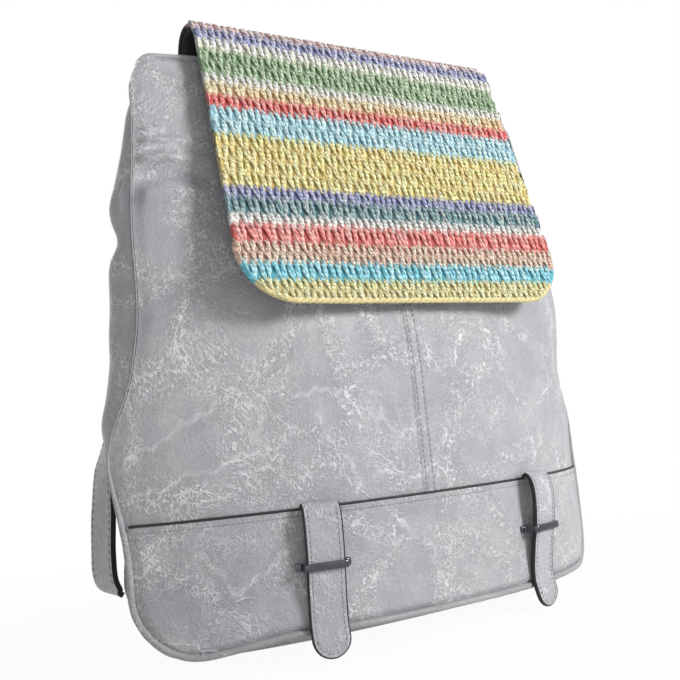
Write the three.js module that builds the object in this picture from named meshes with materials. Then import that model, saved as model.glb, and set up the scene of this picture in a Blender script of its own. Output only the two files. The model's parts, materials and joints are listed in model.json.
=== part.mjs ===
// A small backpack in crackled grey leather with a striped woven flap, in millimetres.
// +Z is up and the front faces -Y. The bag stands on its base at z = 0.
import * as THREE from 'three';
import { mergeVertices } from 'three/addons/utils/BufferGeometryUtils.js';

// The bag's body
const WIDTH = 321; // across the fullest part of the front
const WAIST_WIDTH = 300; // above the band
const MOUTH_WIDTH = 278; // across the top
const HEIGHT = 330; // floor to the top edge of the front
const DEPTH = 130; // front to back at the base
const MOUTH_FRONT = 40; // set-back of the front's top edge
const MOUTH_BACK = 60; // set-back of the back panel's top edge
const EDGE_SETBACK = 52; // how far the front curves back at its side edges
const EDGE_SETBACK_TOP = 8;
const FRONT_CURVE = 2.6; // exponent of that curve
const LEAN_HEIGHT = 168; // where the front starts to lean back
const LEAN_BLEND = 16;
const BACK_WIDTH = 276; // back panel at the base
const BACK_WIDTH_TOP = 260;
const CORNER = 30; // radius of the bottom corners
const FRONT_SEAM = 15; // front bottom seam above the floor
const BACK_SEAM = 12;
const TOP_DROP = 5; // the mouth edge is lower at its sides
const LEATHER = 2; // one panel
const LINING = 0.8;
const LINING_EASE = 1.6; // the lining hangs this far inside the panels
const PIPING = 4.2; // bead diameter
const GAP = 0.4; // clearance between pieces that touch
const GUSSET_BULGE = 15;
const GUSSET_FOLD = 3; // how far the side folds in at the mouth
const BASE_SAG = 20;
const EDGE_DRAW = 14.5; // the upper right edge is drawn in under the flap
const EDGE_BELLY = 8; // the left edge swells above the band
const CORNER_DROOP = 6; // the lower left corner hangs

// The front's trim
const BAND_TOP = 77; // top edge of the lower band
const BAND_RAISE = 1.2; // the band stands proud of the upper halves
const LAP_WIDTH = 10; // the left half laps over the right one
const LAP_RAISE = 1;
const LAP_EDGE = 1.5;
const TAB_X = 74.4; // trim straps from the middle
const TAB_WIDTH = 19.5;
const TAB_THICK = 2.4;
const TAB_TIP = 2; // lowest point above the floor
const TAB_ARCH = { left: 4.2, right: 6.5 }; // how far each strap bows out
const KEEPER_Z = 48;
const KEEPER_BAR = 4.5; // height of the metal strip
const KEEPER_THICK = 1.4;
const KEEPER_EAR = 3.4;

// The flap
const FLAP_WIDTH = 215; // at the fold
const FLAP_FLARE = 5; // wider on each side at the lower edge
const FLAP_BOTTOM = 182;
const FLAP_STANDOFF = 8.64; // woven face in front of the bag at the snap
const FLAP_RISE = 20; // the fold stands this far above the mouth
const FLAP_CORNER = 33;
const FLAP_CLEAR = 6; // woven face in front of the front's top edge
const HINGE_DROP = 12; // the flap's seam below the top of the back
const WEAVE = 2; // woven cloth between its ridges
const RIDGE = 1.2; // height of a ridge
const ROW = 7.4; // one row of stitches
const SNAP_Z = 212;
const SNAP_RADIUS = 8;
const SNAP_THICK = 1;

// The back
const STRAP_WIDTH = 28;
const STRAP_THICK = 3;
const STRAP_TURN = 3.4; // mid-line radius where the strap turns round its ring
const STRAP_RETURN = 60; // length of the doubled end
const STRAP_LOW = 38; // height where the strap is sewn into the side
const STRAP_INSET = 22; // in front of the back seam there
const STRAP_BOW = 8; // how far it bows out from the side
const STRAP_EASE = 4; // its least clearance there
const RING_WIRE = 2.6;
const RING_LENGTH = 11; // bar to bar
const RING_X = 62;
const RING_DROP = 44; // below the top of the back
const RUN_X = 120; // lower end of the straight run behind the bag
const RUN_DROP = 76;
const RUN_STANDOFF = 3;
const SLIDER_LENGTH = 14;
const SLIDER_WALL = 2;
const SLIDER_AT = 52; // from the ring
const YOKE_WIDTH = 88;
const YOKE_HEIGHT = 52;
const YOKE_DROP = 22; // below the top of the back
const HANDLE_SPAN = 64;
const HANDLE_BOW = 17;
const HANDLE_WIDTH = 16;
const HANDLE_DROP = 60;

const V = (x, y, z) => new THREE.Vector3(x, y, z);
const lerp = THREE.MathUtils.lerp;
const smooth = (x, a, b) => THREE.MathUtils.smoothstep(x, a, b);
const steps = (a, b, n) => Array.from({ length: n + 1 }, (_, i) => lerp(a, b, i / n));

// Surfaces of the bag

// Half width of the front at height z: full at the band, waisted above it.
function frontHalf(z) {
  const belly = (WIDTH - WAIST_WIDTH) / 2;
  const taper = (WAIST_WIDTH - MOUTH_WIDTH) / 2;
  const full = 1 - smooth(z, 1.36 * BAND_TOP, 2 * BAND_TOP);
  return WAIST_WIDTH / 2 + belly * full - taper * smooth(z, 0.62 * HEIGHT, HEIGHT);
}

function backHalf(z) {
  return lerp(BACK_WIDTH, BACK_WIDTH_TOP, z / HEIGHT) / 2;
}

// Half width of a panel inset by d, with its rounded bottom corner.
function outlineHalf(half, seam, z, d) {
  const rise = seam + CORNER - z;
  if (rise <= 0) return half(z) - d;
  const r = CORNER - d;
  return half(seam + CORNER) - CORNER + Math.sqrt(Math.max(r * r - rise * rise, 0));
}

// The front is upright below LEAN_HEIGHT, leans back above it and curves back to its sides.
function frontY(x, z) {
  const over = z - LEAN_HEIGHT;
  const ramp = (Math.hypot(over, LEAN_BLEND) + over) / 2;
  const full = (Math.hypot(HEIGHT - LEAN_HEIGHT, LEAN_BLEND) + HEIGHT - LEAN_HEIGHT) / 2;
  const setback = lerp(EDGE_SETBACK, EDGE_SETBACK_TOP, smooth(z, 1.1 * BAND_TOP, 0.97 * HEIGHT));
  return (MOUTH_FRONT * ramp) / full + setback * Math.abs(x / frontHalf(z)) ** FRONT_CURVE;
}

function backY(z) {
  return lerp(DEPTH, MOUTH_BACK, (z - BACK_SEAM) / (HEIGHT - BACK_SEAM));
}

const frontTop = (u) => HEIGHT - TOP_DROP * (0.6 * u * u + 0.4 * u ** 10);

// A seam's path from the top left (0) down the side (1), round the corner (2) to the middle (3).
function seamPoint(panel, a) {
  const { half, seam, top, y } = panel;
  const centre = half(seam + CORNER) - CORNER;
  let x;
  let z;
  let out;
  if (a <= 1) {
    z = lerp(top, seam + CORNER, a);
    x = -half(z);
    out = V(-1, 0, 0);
  } else if (a <= 2) {
    const turn = ((a - 1) * Math.PI) / 2;
    out = V(-Math.cos(turn), 0, -Math.sin(turn));
    x = -centre + CORNER * out.x;
    z = seam + CORNER + CORNER * out.z;
  } else {
    x = -centre * (3 - a);
    z = seam;
    out = V(0, 0, -1);
  }
  return { point: V(x, y(x, z), z), out };
}

const frontPanel = { half: frontHalf, seam: FRONT_SEAM, top: frontTop(1), y: frontY };
const backPanel = { half: backHalf, seam: BACK_SEAM, top: HEIGHT, y: (x, z) => backY(z) };

// The side and base strip between the two seams. It bulges at the sides, folds in at the mouth
// and sags to a flat patch on the floor.
function gussetPoint(a, v) {
  const front = seamPoint(frontPanel, a);
  const back = seamPoint(backPanel, a);
  const arch = Math.sin(Math.PI * v);
  const fold = GUSSET_FOLD * (1 - smooth(a, 0, 0.12));
  const bulge = GUSSET_BULGE * Math.sin((Math.PI / 2) * Math.min(2 * a, 1)) * (1 - smooth(a, 0.66, 0.84));
  const sag = BASE_SAG * smooth(a, 1.2, 2.2) * smooth(v, 0.03, 0.66) * (1 - smooth(v, 0.74, 0.96));
  const swell = (bulge - fold) * arch + sag;
  const p = front.point.lerp(back.point, v).addScaledVector(front.out, swell);
  if (a > 1) p.z = Math.max(p.z, 0);
  return p;
}

// The empty bag has settled: one upper edge is drawn in, the other edge swells and a corner hangs.
function settle(p) {
  const edge = frontY(frontHalf(p.z), p.z);
  const back = Math.min(Math.max((p.y - edge) / (backY(p.z) - edge), 0), 1);
  const left = smooth(-p.x, 0.27 * WIDTH, 0.44 * WIDTH);
  const right = smooth(p.x, 0.27 * WIDTH, 0.4 * WIDTH);
  const high = 0.67 * smooth(p.z, 0.54 * HEIGHT, 0.72 * HEIGHT) + 0.33 * smooth(p.z, 0.72 * HEIGHT, 0.97 * HEIGHT);
  const belly = smooth(p.z, 0.72 * BAND_TOP, 1.53 * BAND_TOP) * (1 - smooth(p.z, 1.58 * BAND_TOP, 2.5 * BAND_TOP));
  const low = (1 - smooth(p.z, FRONT_SEAM, 1.1 * BAND_TOP)) * Math.min(p.z / FRONT_SEAM, 1);
  p.x -= EDGE_DRAW * right * high * (1 - back) + EDGE_BELLY * left * belly * (1 - smooth(back, 0.1, 0.6));
  p.z -= CORNER_DROOP * left * low * (1 - back);
}

// The strip's two edges stop short of the piping; at the mouth they also clear the front's thickness.
const seamShares = (a) => {
  const across = seamPoint(frontPanel, a).point.distanceTo(seamPoint(backPanel, a).point);
  const clear = LEATHER * lerp(1, 0.2, smooth(a, 0, 0.2));
  return [(PIPING / 2 + GAP + clear) / across, 1 - (PIPING / 2 + GAP + 0.1 * LEATHER) / across];
};

// Solids

// Turns a triangle list into a mesh geometry that faces out.
function solid(points, faces) {
  let volume = 0;
  for (const [a, b, c] of faces) {
    volume += points[a].dot(V(0, 0, 0).crossVectors(points[b], points[c]));
  }
  const index = faces.flatMap(([a, b, c]) => (volume < 0 ? [a, c, b] : [a, b, c]));
  const geometry = new THREE.BufferGeometry().setFromPoints(points);
  geometry.setIndex(index);
  return geometry;
}

// A closed solid through rings of equal length. Flat ends close it, or it joins up with itself.
function loft(rings, looped = false) {
  const n = rings[0].length;
  const faces = [];
  const last = looped ? rings.length : rings.length - 1;
  for (let i = 0; i < last; i++) {
    for (let k = 0; k < n; k++) {
      const a = i * n + k;
      const b = i * n + ((k + 1) % n);
      const c = ((i + 1) % rings.length) * n + k;
      const d = ((i + 1) % rings.length) * n + ((k + 1) % n);
      faces.push([a, b, d], [a, d, c]);
    }
  }
  const end = (rings.length - 1) * n;
  for (let k = 1; k < n - 1 && !looped; k++) {
    faces.push([0, k + 1, k], [end, end + k, end + k + 1]);
  }
  return solid(rings.flat(), faces);
}

// A sheet between an outer grid and the same grid moved inward by the thickness.
function sheet(grid, thickness, raise = () => 0) {
  const rows = grid.length;
  const cols = grid[0].length;
  const at = (i, j) => grid[THREE.MathUtils.clamp(i, 0, rows - 1)][THREE.MathUtils.clamp(j, 0, cols - 1)];
  const outer = [];
  const inner = [];
  for (let i = 0; i < rows; i++) {
    for (let j = 0; j < cols; j++) {
      const along = at(i + 1, j).clone().sub(at(i - 1, j));
      const across = at(i, j + 1).clone().sub(at(i, j - 1));
      const normal = across.cross(along).normalize();
      outer.push(at(i, j).clone().addScaledVector(normal, raise(i, j)));
      inner.push(at(i, j).clone().addScaledVector(normal, -thickness));
    }
  }
  const count = rows * cols;
  const faces = [];
  const quad = (a, b, c, d) => faces.push([a, b, c], [a, c, d]);
  for (let i = 0; i < rows - 1; i++) {
    for (let j = 0; j < cols - 1; j++) {
      const a = i * cols + j;
      quad(a, a + cols, a + cols + 1, a + 1);
      quad(count + a, count + a + 1, count + a + cols + 1, count + a + cols);
    }
  }
  const rim = [];
  for (let j = 0; j < cols - 1; j++) rim.push(j);
  for (let i = 0; i < rows - 1; i++) rim.push(i * cols + cols - 1);
  for (let j = cols - 1; j > 0; j--) rim.push((rows - 1) * cols + j);
  for (let i = rows - 1; i > 0; i--) rim.push(i * cols);
  rim.forEach((a, k) => {
    const b = rim[(k + 1) % rim.length];
    quad(a, b, count + b, count + a);
  });
  return solid([...outer, ...inner], faces);
}

// A flat strap along stations of { at, face, width }: face is the way its flat side looks.
function strap(stations, thickness) {
  const rings = stations.map(({ at, face, width }, i) => {
    const before = stations[Math.max(i - 1, 0)].at;
    const after = stations[Math.min(i + 1, stations.length - 1)].at;
    const along = after.clone().sub(before).normalize();
    const across = along.clone().cross(face).normalize();
    const up = across.clone().cross(along).normalize();
    const w = across.multiplyScalar(width / 2);
    const t = up.multiplyScalar(thickness / 2);
    return [
      at.clone().add(w).add(t),
      at.clone().sub(w).add(t),
      at.clone().sub(w).sub(t),
      at.clone().add(w).sub(t),
    ];
  });
  return loft(rings);
}

const bag = new THREE.Group();

function add(name, geometry, material) {
  const mesh = new THREE.Mesh(geometry, new THREE.MeshStandardMaterial(material));
  mesh.name = name;
  geometry.computeVertexNormals();
  bag.add(mesh);
}

const LEATHER_GREY = { color: 0xababad, roughness: 0.45, metalness: 0 };
const STRAP_GREY = { color: 0x98989a, roughness: 0.5, metalness: 0 };
const BLACK_CLOTH = { color: 0x222429, roughness: 0.85, metalness: 0 };
const GUNMETAL = { color: 0x6d6f74, roughness: 0.3, metalness: 1 };
const YARN = { color: 0xd9b45a, roughness: 0.9, metalness: 0 };

// Front panels: two upper halves, the left one lapped over the right one, and the lower band

function frontGrid(us, low, high, raise, inset) {
  return steps(0, 1, 14).map((v) =>
    us.map((u) => {
      const z = lerp(low, high(u), v);
      const x = u * outlineHalf(frontHalf, FRONT_SEAM, z, inset);
      return V(x, frontY(x, z) - raise(x), z);
    }),
  );
}

const seamInset = PIPING / 2 + GAP;
const lapShare = LAP_WIDTH / (WAIST_WIDTH / 2);
const edgeShare = LAP_EDGE / (WAIST_WIDTH / 2);
const gapShare = (LAP_EDGE + GAP) / (WAIST_WIDTH / 2);
const lap = (x) => LAP_RAISE * smooth(x, -LAP_WIDTH, -LAP_WIDTH + 2);
const across = [1, 0.94, 0.87, 0.78, 0.66, 0.52, 0.36, 0.2];
const leftColumns = [...across.map((u) => -u), -lapShare, -lapShare * 0.75, edgeShare];
const rightColumns = [gapShare, ...across.slice().reverse()];
const noRaise = () => 0;
const upperLow = BAND_TOP + GAP;
const leftGrid = frontGrid(leftColumns, upperLow, frontTop, lap, seamInset);
const rightGrid = frontGrid(rightColumns, upperLow, frontTop, noRaise, seamInset);
add('front_left_half', sheet(leftGrid, LEATHER), LEATHER_GREY);
add('front_right_half', sheet(rightGrid, LEATHER), LEATHER_GREY);

const bandColumns = [...across.map((u) => -u), 0, ...across.slice().reverse()];
const bandInset = seamInset + BAND_RAISE / 2;
const bandRows = steps(0, 1, 9).map((v) => lerp(FRONT_SEAM + bandInset, BAND_TOP, v ** 1.6));
const bandGrid = bandRows.map((z) =>
  bandColumns.map((u) => {
    const x = u * outlineHalf(frontHalf, FRONT_SEAM, z, bandInset);
    return V(x, frontY(x, z) - BAND_RAISE, z);
  }),
);
add('front_band', sheet(bandGrid, LEATHER + BAND_RAISE), LEATHER_GREY);

// Sides, base and back

function gussetGrid(path, columns) {
  return path.map(({ a, mirror }) =>
    steps(0, 1, columns).map((v) => {
      const p = gussetPoint(a, lerp(...seamShares(a), v));
      return V(p.x * mirror, p.y, p.z);
    }),
  );
}

const sideEnd = 1.5; // the side meets the base half way round the corner
const sidePath = [...steps(0, 1, 14), ...steps(1, sideEnd, 4).slice(1)];
const baseStart = sideEnd + (1.3 * GAP) / (CORNER * Math.PI / 2);
const baseHalf = [...steps(baseStart, 2.2, 7), ...steps(2.2, 3, 4).slice(1)];
const basePath = [
  ...baseHalf.map((a) => ({ a, mirror: 1 })),
  ...baseHalf.slice(0, -1).reverse().map((a) => ({ a, mirror: -1 })),
];
for (const [name, mirror] of [['left_gusset', 1], ['right_gusset', -1]]) {
  const grid = gussetGrid(sidePath.map((a) => ({ a, mirror })), 6);
  const facing = mirror > 0 ? grid : grid.map((row) => row.slice().reverse());
  add(name, sheet(facing, LEATHER), LEATHER_GREY);
}
add('base_panel', sheet(gussetGrid(basePath, 8), LEATHER), LEATHER_GREY);

const backInset = seamInset + GAP / 2;
const backRows = [...steps(0, CORNER, 5), ...steps(CORNER, HEIGHT - BACK_SEAM, 6).slice(1)];
const backGrid = backRows.map((rise) => {
  const z = Math.max(BACK_SEAM + rise, BACK_SEAM + backInset);
  const half = outlineHalf(backHalf, BACK_SEAM, z, backInset);
  return steps(half, -half, 8).map((x) => V(x, backY(z), z));
});
add('back_panel', sheet(backGrid, LEATHER), LEATHER_GREY);

// Piping along the front and back seams

const bead = new THREE.Shape().absarc(0, 0, PIPING / 2, 0, 2 * Math.PI);
for (const [name, panel] of [['front_piping', frontPanel], ['back_piping', backPanel]]) {
  const left = [...steps(0, 1, 14), ...steps(1, 2, 6).slice(1), ...steps(2, 3, 4).slice(1)];
  const points = left.map((a) => seamPoint(panel, a).point);
  const right = points.slice(0, -1).reverse().map((p) => V(-p.x, p.y, p.z));
  const path = new THREE.CatmullRomCurve3([...points, ...right], false, 'centripetal');
  const tube = new THREE.ExtrudeGeometry(bead, {
    steps: 74, curveSegments: 3, bevelEnabled: false, extrudePath: path,
  });
  tube.deleteAttribute('normal');
  tube.deleteAttribute('uv');
  add(name, mergeVertices(tube, 1e-3), LEATHER_GREY);
}

// Lining: a cloth bag inside the shell, open at the mouth

function liningRing(z, inset, shrink, floor) {
  const fx = outlineHalf(frontHalf, FRONT_SEAM, Math.max(z, FRONT_SEAM + inset + 0.5), inset + 3.5);
  const bx = outlineHalf(backHalf, BACK_SEAM, Math.max(z, FRONT_SEAM + inset + 0.5), inset + 1.5);
  const level = Math.max(z, FRONT_SEAM + inset);
  const back = backY(level) - inset - 1;
  const front = (x) => Math.min(frontY(x, level) + inset * 1.1, back - 2);
  const fold = GUSSET_FOLD * smooth(z, HEIGHT * 0.66, HEIGHT);
  const ring = [];
  for (const u of steps(-1, 1, 12)) ring.push(V(u * fx, front(u * fx), z));
  for (const v of [0.25, 0.5, 0.75]) {
    ring.push(V(lerp(fx, bx, v) - fold * Math.sin(Math.PI * v), lerp(front(fx), back, v), z));
  }
  for (const u of steps(1, -1, 4)) ring.push(V(u * bx, back, z));
  for (const v of [0.75, 0.5, 0.25]) {
    ring.push(V(-lerp(fx, bx, v) + fold * Math.sin(Math.PI * v), lerp(front(fx), back, v), z));
  }
  const middle = (front(0) + back) / 2;
  return ring.map((p) => V(p.x * shrink, lerp(middle, p.y, shrink), floor ?? p.z));
}

function liningSkin(inset) {
  const levels = [...steps(HEIGHT - TOP_DROP - 9, LEAN_HEIGHT, 4), ...steps(LEAN_HEIGHT, BAND_TOP, 6).slice(1)];
  levels.push(FRONT_SEAM + CORNER, FRONT_SEAM + 0.5 * CORNER, FRONT_SEAM + 0.22 * CORNER + inset);
  const rings = levels.map((z) => liningRing(z, inset, 1));
  for (const shrink of [0.82, 0.6, 0.4]) {
    const dip = 0.45 * BASE_SAG * Math.sin((Math.PI * (1 - shrink)) / 2) ** 2;
    rings.push(liningRing(FRONT_SEAM + inset, inset, shrink, Math.max(FRONT_SEAM - dip, 0) + inset));
  }
  return rings;
}

const liningOuter = liningSkin(LEATHER + LINING_EASE);
const liningInner = liningSkin(LEATHER + LINING_EASE + LINING);
add('lining', loft([...liningOuter.slice().reverse(), ...liningInner]), BLACK_CLOTH);

// Trim straps: sewn into the band's seam, bowed over it and held down by a metal keeper

// A place on the band in front of x, with d measured out from the surface.
function bandFrame(x) {
  const slope = (frontY(x + 1, KEEPER_Z) - frontY(x - 1, KEEPER_Z)) / 2;
  const face = V(slope, -1, 0).normalize();
  const along = V(1, slope, 0).normalize();
  const at = (p, d, z) =>
    V(x, frontY(x, KEEPER_Z) - BAND_RAISE, z).addScaledVector(along, p).addScaledVector(face, d);
  return { face, along, at };
}

for (const [side, sign] of [['left', -1], ['right', 1]]) {
  const { face, along, at } = bandFrame(sign * TAB_X);
  const bow = TAB_ARCH[side];
  const flat = TAB_THICK / 2 + GAP;
  const curve = new THREE.CatmullRomCurve3([
    at(0, flat + 0.6, BAND_TOP + 1),
    at(0, flat + 0.4 * bow, BAND_TOP + 1 + 0.2 * bow),
    at(0, flat + 0.8 * bow, BAND_TOP - 1 + 0.05 * bow),
    at(0, flat + bow, BAND_TOP - 0.35 * TAB_WIDTH),
    at(0, flat + 0.97 * bow, KEEPER_Z + 0.6 * TAB_WIDTH),
    at(0, flat + 0.75 * bow, KEEPER_Z),
    at(0, flat + 0.42 * bow, KEEPER_Z - 0.5 * TAB_WIDTH),
    at(0, flat + 0.3, FRONT_SEAM + PIPING),
    at(0, flat + PIPING / 2, 0.6 * FRONT_SEAM),
    at(0, flat + PIPING / 2, TAB_TIP),
  ], false, 'centripetal');
  const length = curve.getLength();
  const tip = TAB_WIDTH / 2;
  const tipPlaces = [0.4, 0.7, 0.9, 1].map((q) => 1 - ((1 - q) * tip) / length);
  const places = [...steps(0, 1 - tip / length, 20), ...tipPlaces];
  const stations = places.map((t) => {
    const left = 1 - Math.max(0, 1 - ((1 - t) * length) / tip);
    const here = curve.getPointAt(Math.min(t, 1));
    const tangent = curve.getTangentAt(Math.min(t, 1));
    return {
      at: here,
      face: along.clone().cross(tangent),
      width: TAB_WIDTH * Math.sqrt(Math.max(1 - (1 - left) ** 2, 0.09)),
    };
  });
  add(`${side}_trim_strap`, strap(stations, TAB_THICK), STRAP_GREY);

  const seat = KEEPER_THICK / 2; // its ears lie on the tangent of the curved band
  const lift = flat + TAB_THICK / 2 + GAP + KEEPER_THICK / 2 + 0.85 * bow;
  const inner = TAB_WIDTH / 2 + GAP + KEEPER_THICK;
  const profile = [[-inner - KEEPER_EAR, seat], [-inner - 1.2, seat], [-inner, seat + 1.2], [-inner, lift - 1.2],
    [-inner + 1.2, lift]];
  const outline = [...profile, ...profile.slice().reverse().map(([p, d]) => [-p, d])];
  const bar = outline.map(([p, d], i) => {
    const [p0, d0] = outline[Math.max(i - 1, 0)];
    const [p1, d1] = outline[Math.min(i + 1, outline.length - 1)];
    const tangent = along.clone().multiplyScalar(p1 - p0).addScaledVector(face, d1 - d0);
    return { at: at(p, d, KEEPER_Z), face: V(0, 0, 1).cross(tangent), width: KEEPER_BAR };
  });
  add(`${side}_strap_keeper`, strap(bar, KEEPER_THICK), GUNMETAL);
}

// Flap: a woven sheet with ridged rows over the mouth, a black lining behind it

const FLAP_THICK = WEAVE + GAP + LINING;
const FLAP_TOP = HEIGHT + FLAP_RISE;
const FLAP_HINGE_Z = HEIGHT - HINGE_DROP;
const rootY = (z) => backY(z) + GAP + FLAP_THICK;
const flapLine = new THREE.Path();
const crestZ = FLAP_TOP - RIDGE;
const rearTop = HEIGHT + 0.3 * FLAP_RISE;
flapLine.moveTo(rootY(FLAP_HINGE_Z), FLAP_HINGE_Z);
flapLine.lineTo(rootY(rearTop), rearTop);
const fallTop = lerp(FLAP_BOTTOM, FLAP_TOP, 0.93);
const snapFaceY = frontY(0, SNAP_Z) - FLAP_STANDOFF;
const fallSlope = (MOUTH_FRONT - FLAP_CLEAR - snapFaceY) / (HEIGHT - SNAP_Z);
const fallY = snapFaceY + fallSlope * (fallTop - SNAP_Z);
const bottomY = snapFaceY - fallSlope * (SNAP_Z - FLAP_BOTTOM);
const crestY = (rootY(rearTop) + fallY) / 2;
flapLine.quadraticCurveTo(rootY(rearTop) - 2, crestZ, crestY, crestZ);
flapLine.quadraticCurveTo(fallY + fallSlope * (crestZ - fallTop), crestZ, fallY, fallTop);
flapLine.lineTo(bottomY, FLAP_BOTTOM);
const flapLength = flapLine.getLength();

// Half width at a distance s along the flap, rounded at the lower corners.
function flapHalf(s, inset) {
  const rise = s - (flapLength - FLAP_CORNER);
  const r = FLAP_CORNER - inset;
  const half = FLAP_WIDTH / 2 + FLAP_FLARE * smooth(s, 0.1 * flapLength, flapLength) - inset;
  if (rise <= 0) return half;
  return half - r + Math.sqrt(Math.max(r * r - rise * rise, 0));
}

function flapGrid(places, columns, depth, inset) {
  return places.map((s) => {
    const t = s / flapLength;
    const p = flapLine.getPointAt(t);
    const d = flapLine.getTangentAt(t);
    const half = flapHalf(s, inset);
    return steps(half, -half, columns).map((x) => V(x, p.x - d.y * depth, p.y + d.x * depth));
  });
}

const rows = Math.round(flapLength / ROW);
const weaveEnd = flapLength - 0.6;
const ridgeShape = [0, 1, 1];
const weavePlaces = steps(0, weaveEnd, rows * ridgeShape.length);
const weaveGrid = flapGrid(weavePlaces, 5, 0, 0);
add('flap_weave', sheet(weaveGrid, WEAVE, (i) => RIDGE * ridgeShape[i % ridgeShape.length]), YARN);
const liningPlaces = steps(0, weaveEnd - 3, 30);
const flapLiningGrid = flapGrid(liningPlaces, 3, WEAVE + GAP, 3);
add('flap_lining', sheet(flapLiningGrid, LINING), BLACK_CLOTH);

// Magnetic snap: one half on the flap's lining, the other on the front

function disc(at, face, thickness) {
  const plate = new THREE.CylinderGeometry(SNAP_RADIUS, SNAP_RADIUS, thickness, 20);
  plate.applyQuaternion(new THREE.Quaternion().setFromUnitVectors(V(0, 1, 0), face));
  plate.translate(at.x, at.y, at.z);
  plate.deleteAttribute('normal');
  plate.deleteAttribute('uv');
  return mergeVertices(plate, 1e-3);
}

const flapAt = flapLength - (SNAP_Z - FLAP_BOTTOM) * Math.hypot(1, fallSlope);
const snapDir = flapLine.getTangentAt(flapAt / flapLength);
const snapPoint = flapLine.getPointAt(flapAt / flapLength);
const snapIn = V(0, -snapDir.y, snapDir.x);
const studDepth = FLAP_THICK + GAP + SNAP_THICK / 2;
const stud = V(0, snapPoint.x, snapPoint.y).addScaledVector(snapIn, studDepth);
add('snap_stud', disc(stud, snapIn, SNAP_THICK), GUNMETAL);
const panelSlope = (frontY(0, SNAP_Z + 1) - frontY(0, SNAP_Z - 1)) / 2;
const panelFace = V(0, -1, panelSlope).normalize();
const socket = V(0, frontY(0, SNAP_Z), SNAP_Z)
  .addScaledVector(panelFace, LAP_RAISE + GAP + SNAP_THICK / 2);
add('snap_socket', disc(socket, panelFace, SNAP_THICK), GUNMETAL);

// Back: a yoke with a grab handle, two rings on tabs and the shoulder straps

const backLean = (backY(HEIGHT) - backY(BACK_SEAM)) / (HEIGHT - BACK_SEAM);
const backFace = V(0, 1, -backLean).normalize();
const onBack = (x, z, d) => V(x, backY(z), z).addScaledVector(backFace, d);

const RING_Z = HEIGHT - RING_DROP;
const RUN_Z = HEIGHT - RUN_DROP;
const HANDLE_Z = HEIGHT - HANDLE_DROP;
const YOKE_TOP = HEIGHT - YOKE_DROP;
const yokeGrid = [YOKE_TOP - YOKE_HEIGHT, YOKE_TOP].map((z) =>
  [YOKE_WIDTH / 2, -YOKE_WIDTH / 2].map((x) => onBack(x, z, GAP + LEATHER)),
);
add('yoke', sheet(yokeGrid, LEATHER), LEATHER_GREY);

const yokeFace = GAP + LEATHER;
const handleSeat = yokeFace + GAP + STRAP_THICK / 2;
const handleStations = steps(-1, 1, 16).map((u) => {
  const rise = HANDLE_BOW * (1 - smooth(Math.abs(u), 0.1, 0.72));
  const slope = smooth(Math.abs(u), 0.02, 0.2) - smooth(Math.abs(u), 0.6, 0.75);
  return {
    at: onBack((u * HANDLE_SPAN) / 2, HANDLE_Z, handleSeat + rise),
    face: backFace.clone().add(V(Math.sign(u) * slope * 0.6, 0, 0)),
    width: HANDLE_WIDTH,
  };
});
add('grab_handle', strap(handleStations, STRAP_THICK), STRAP_GREY);

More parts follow.
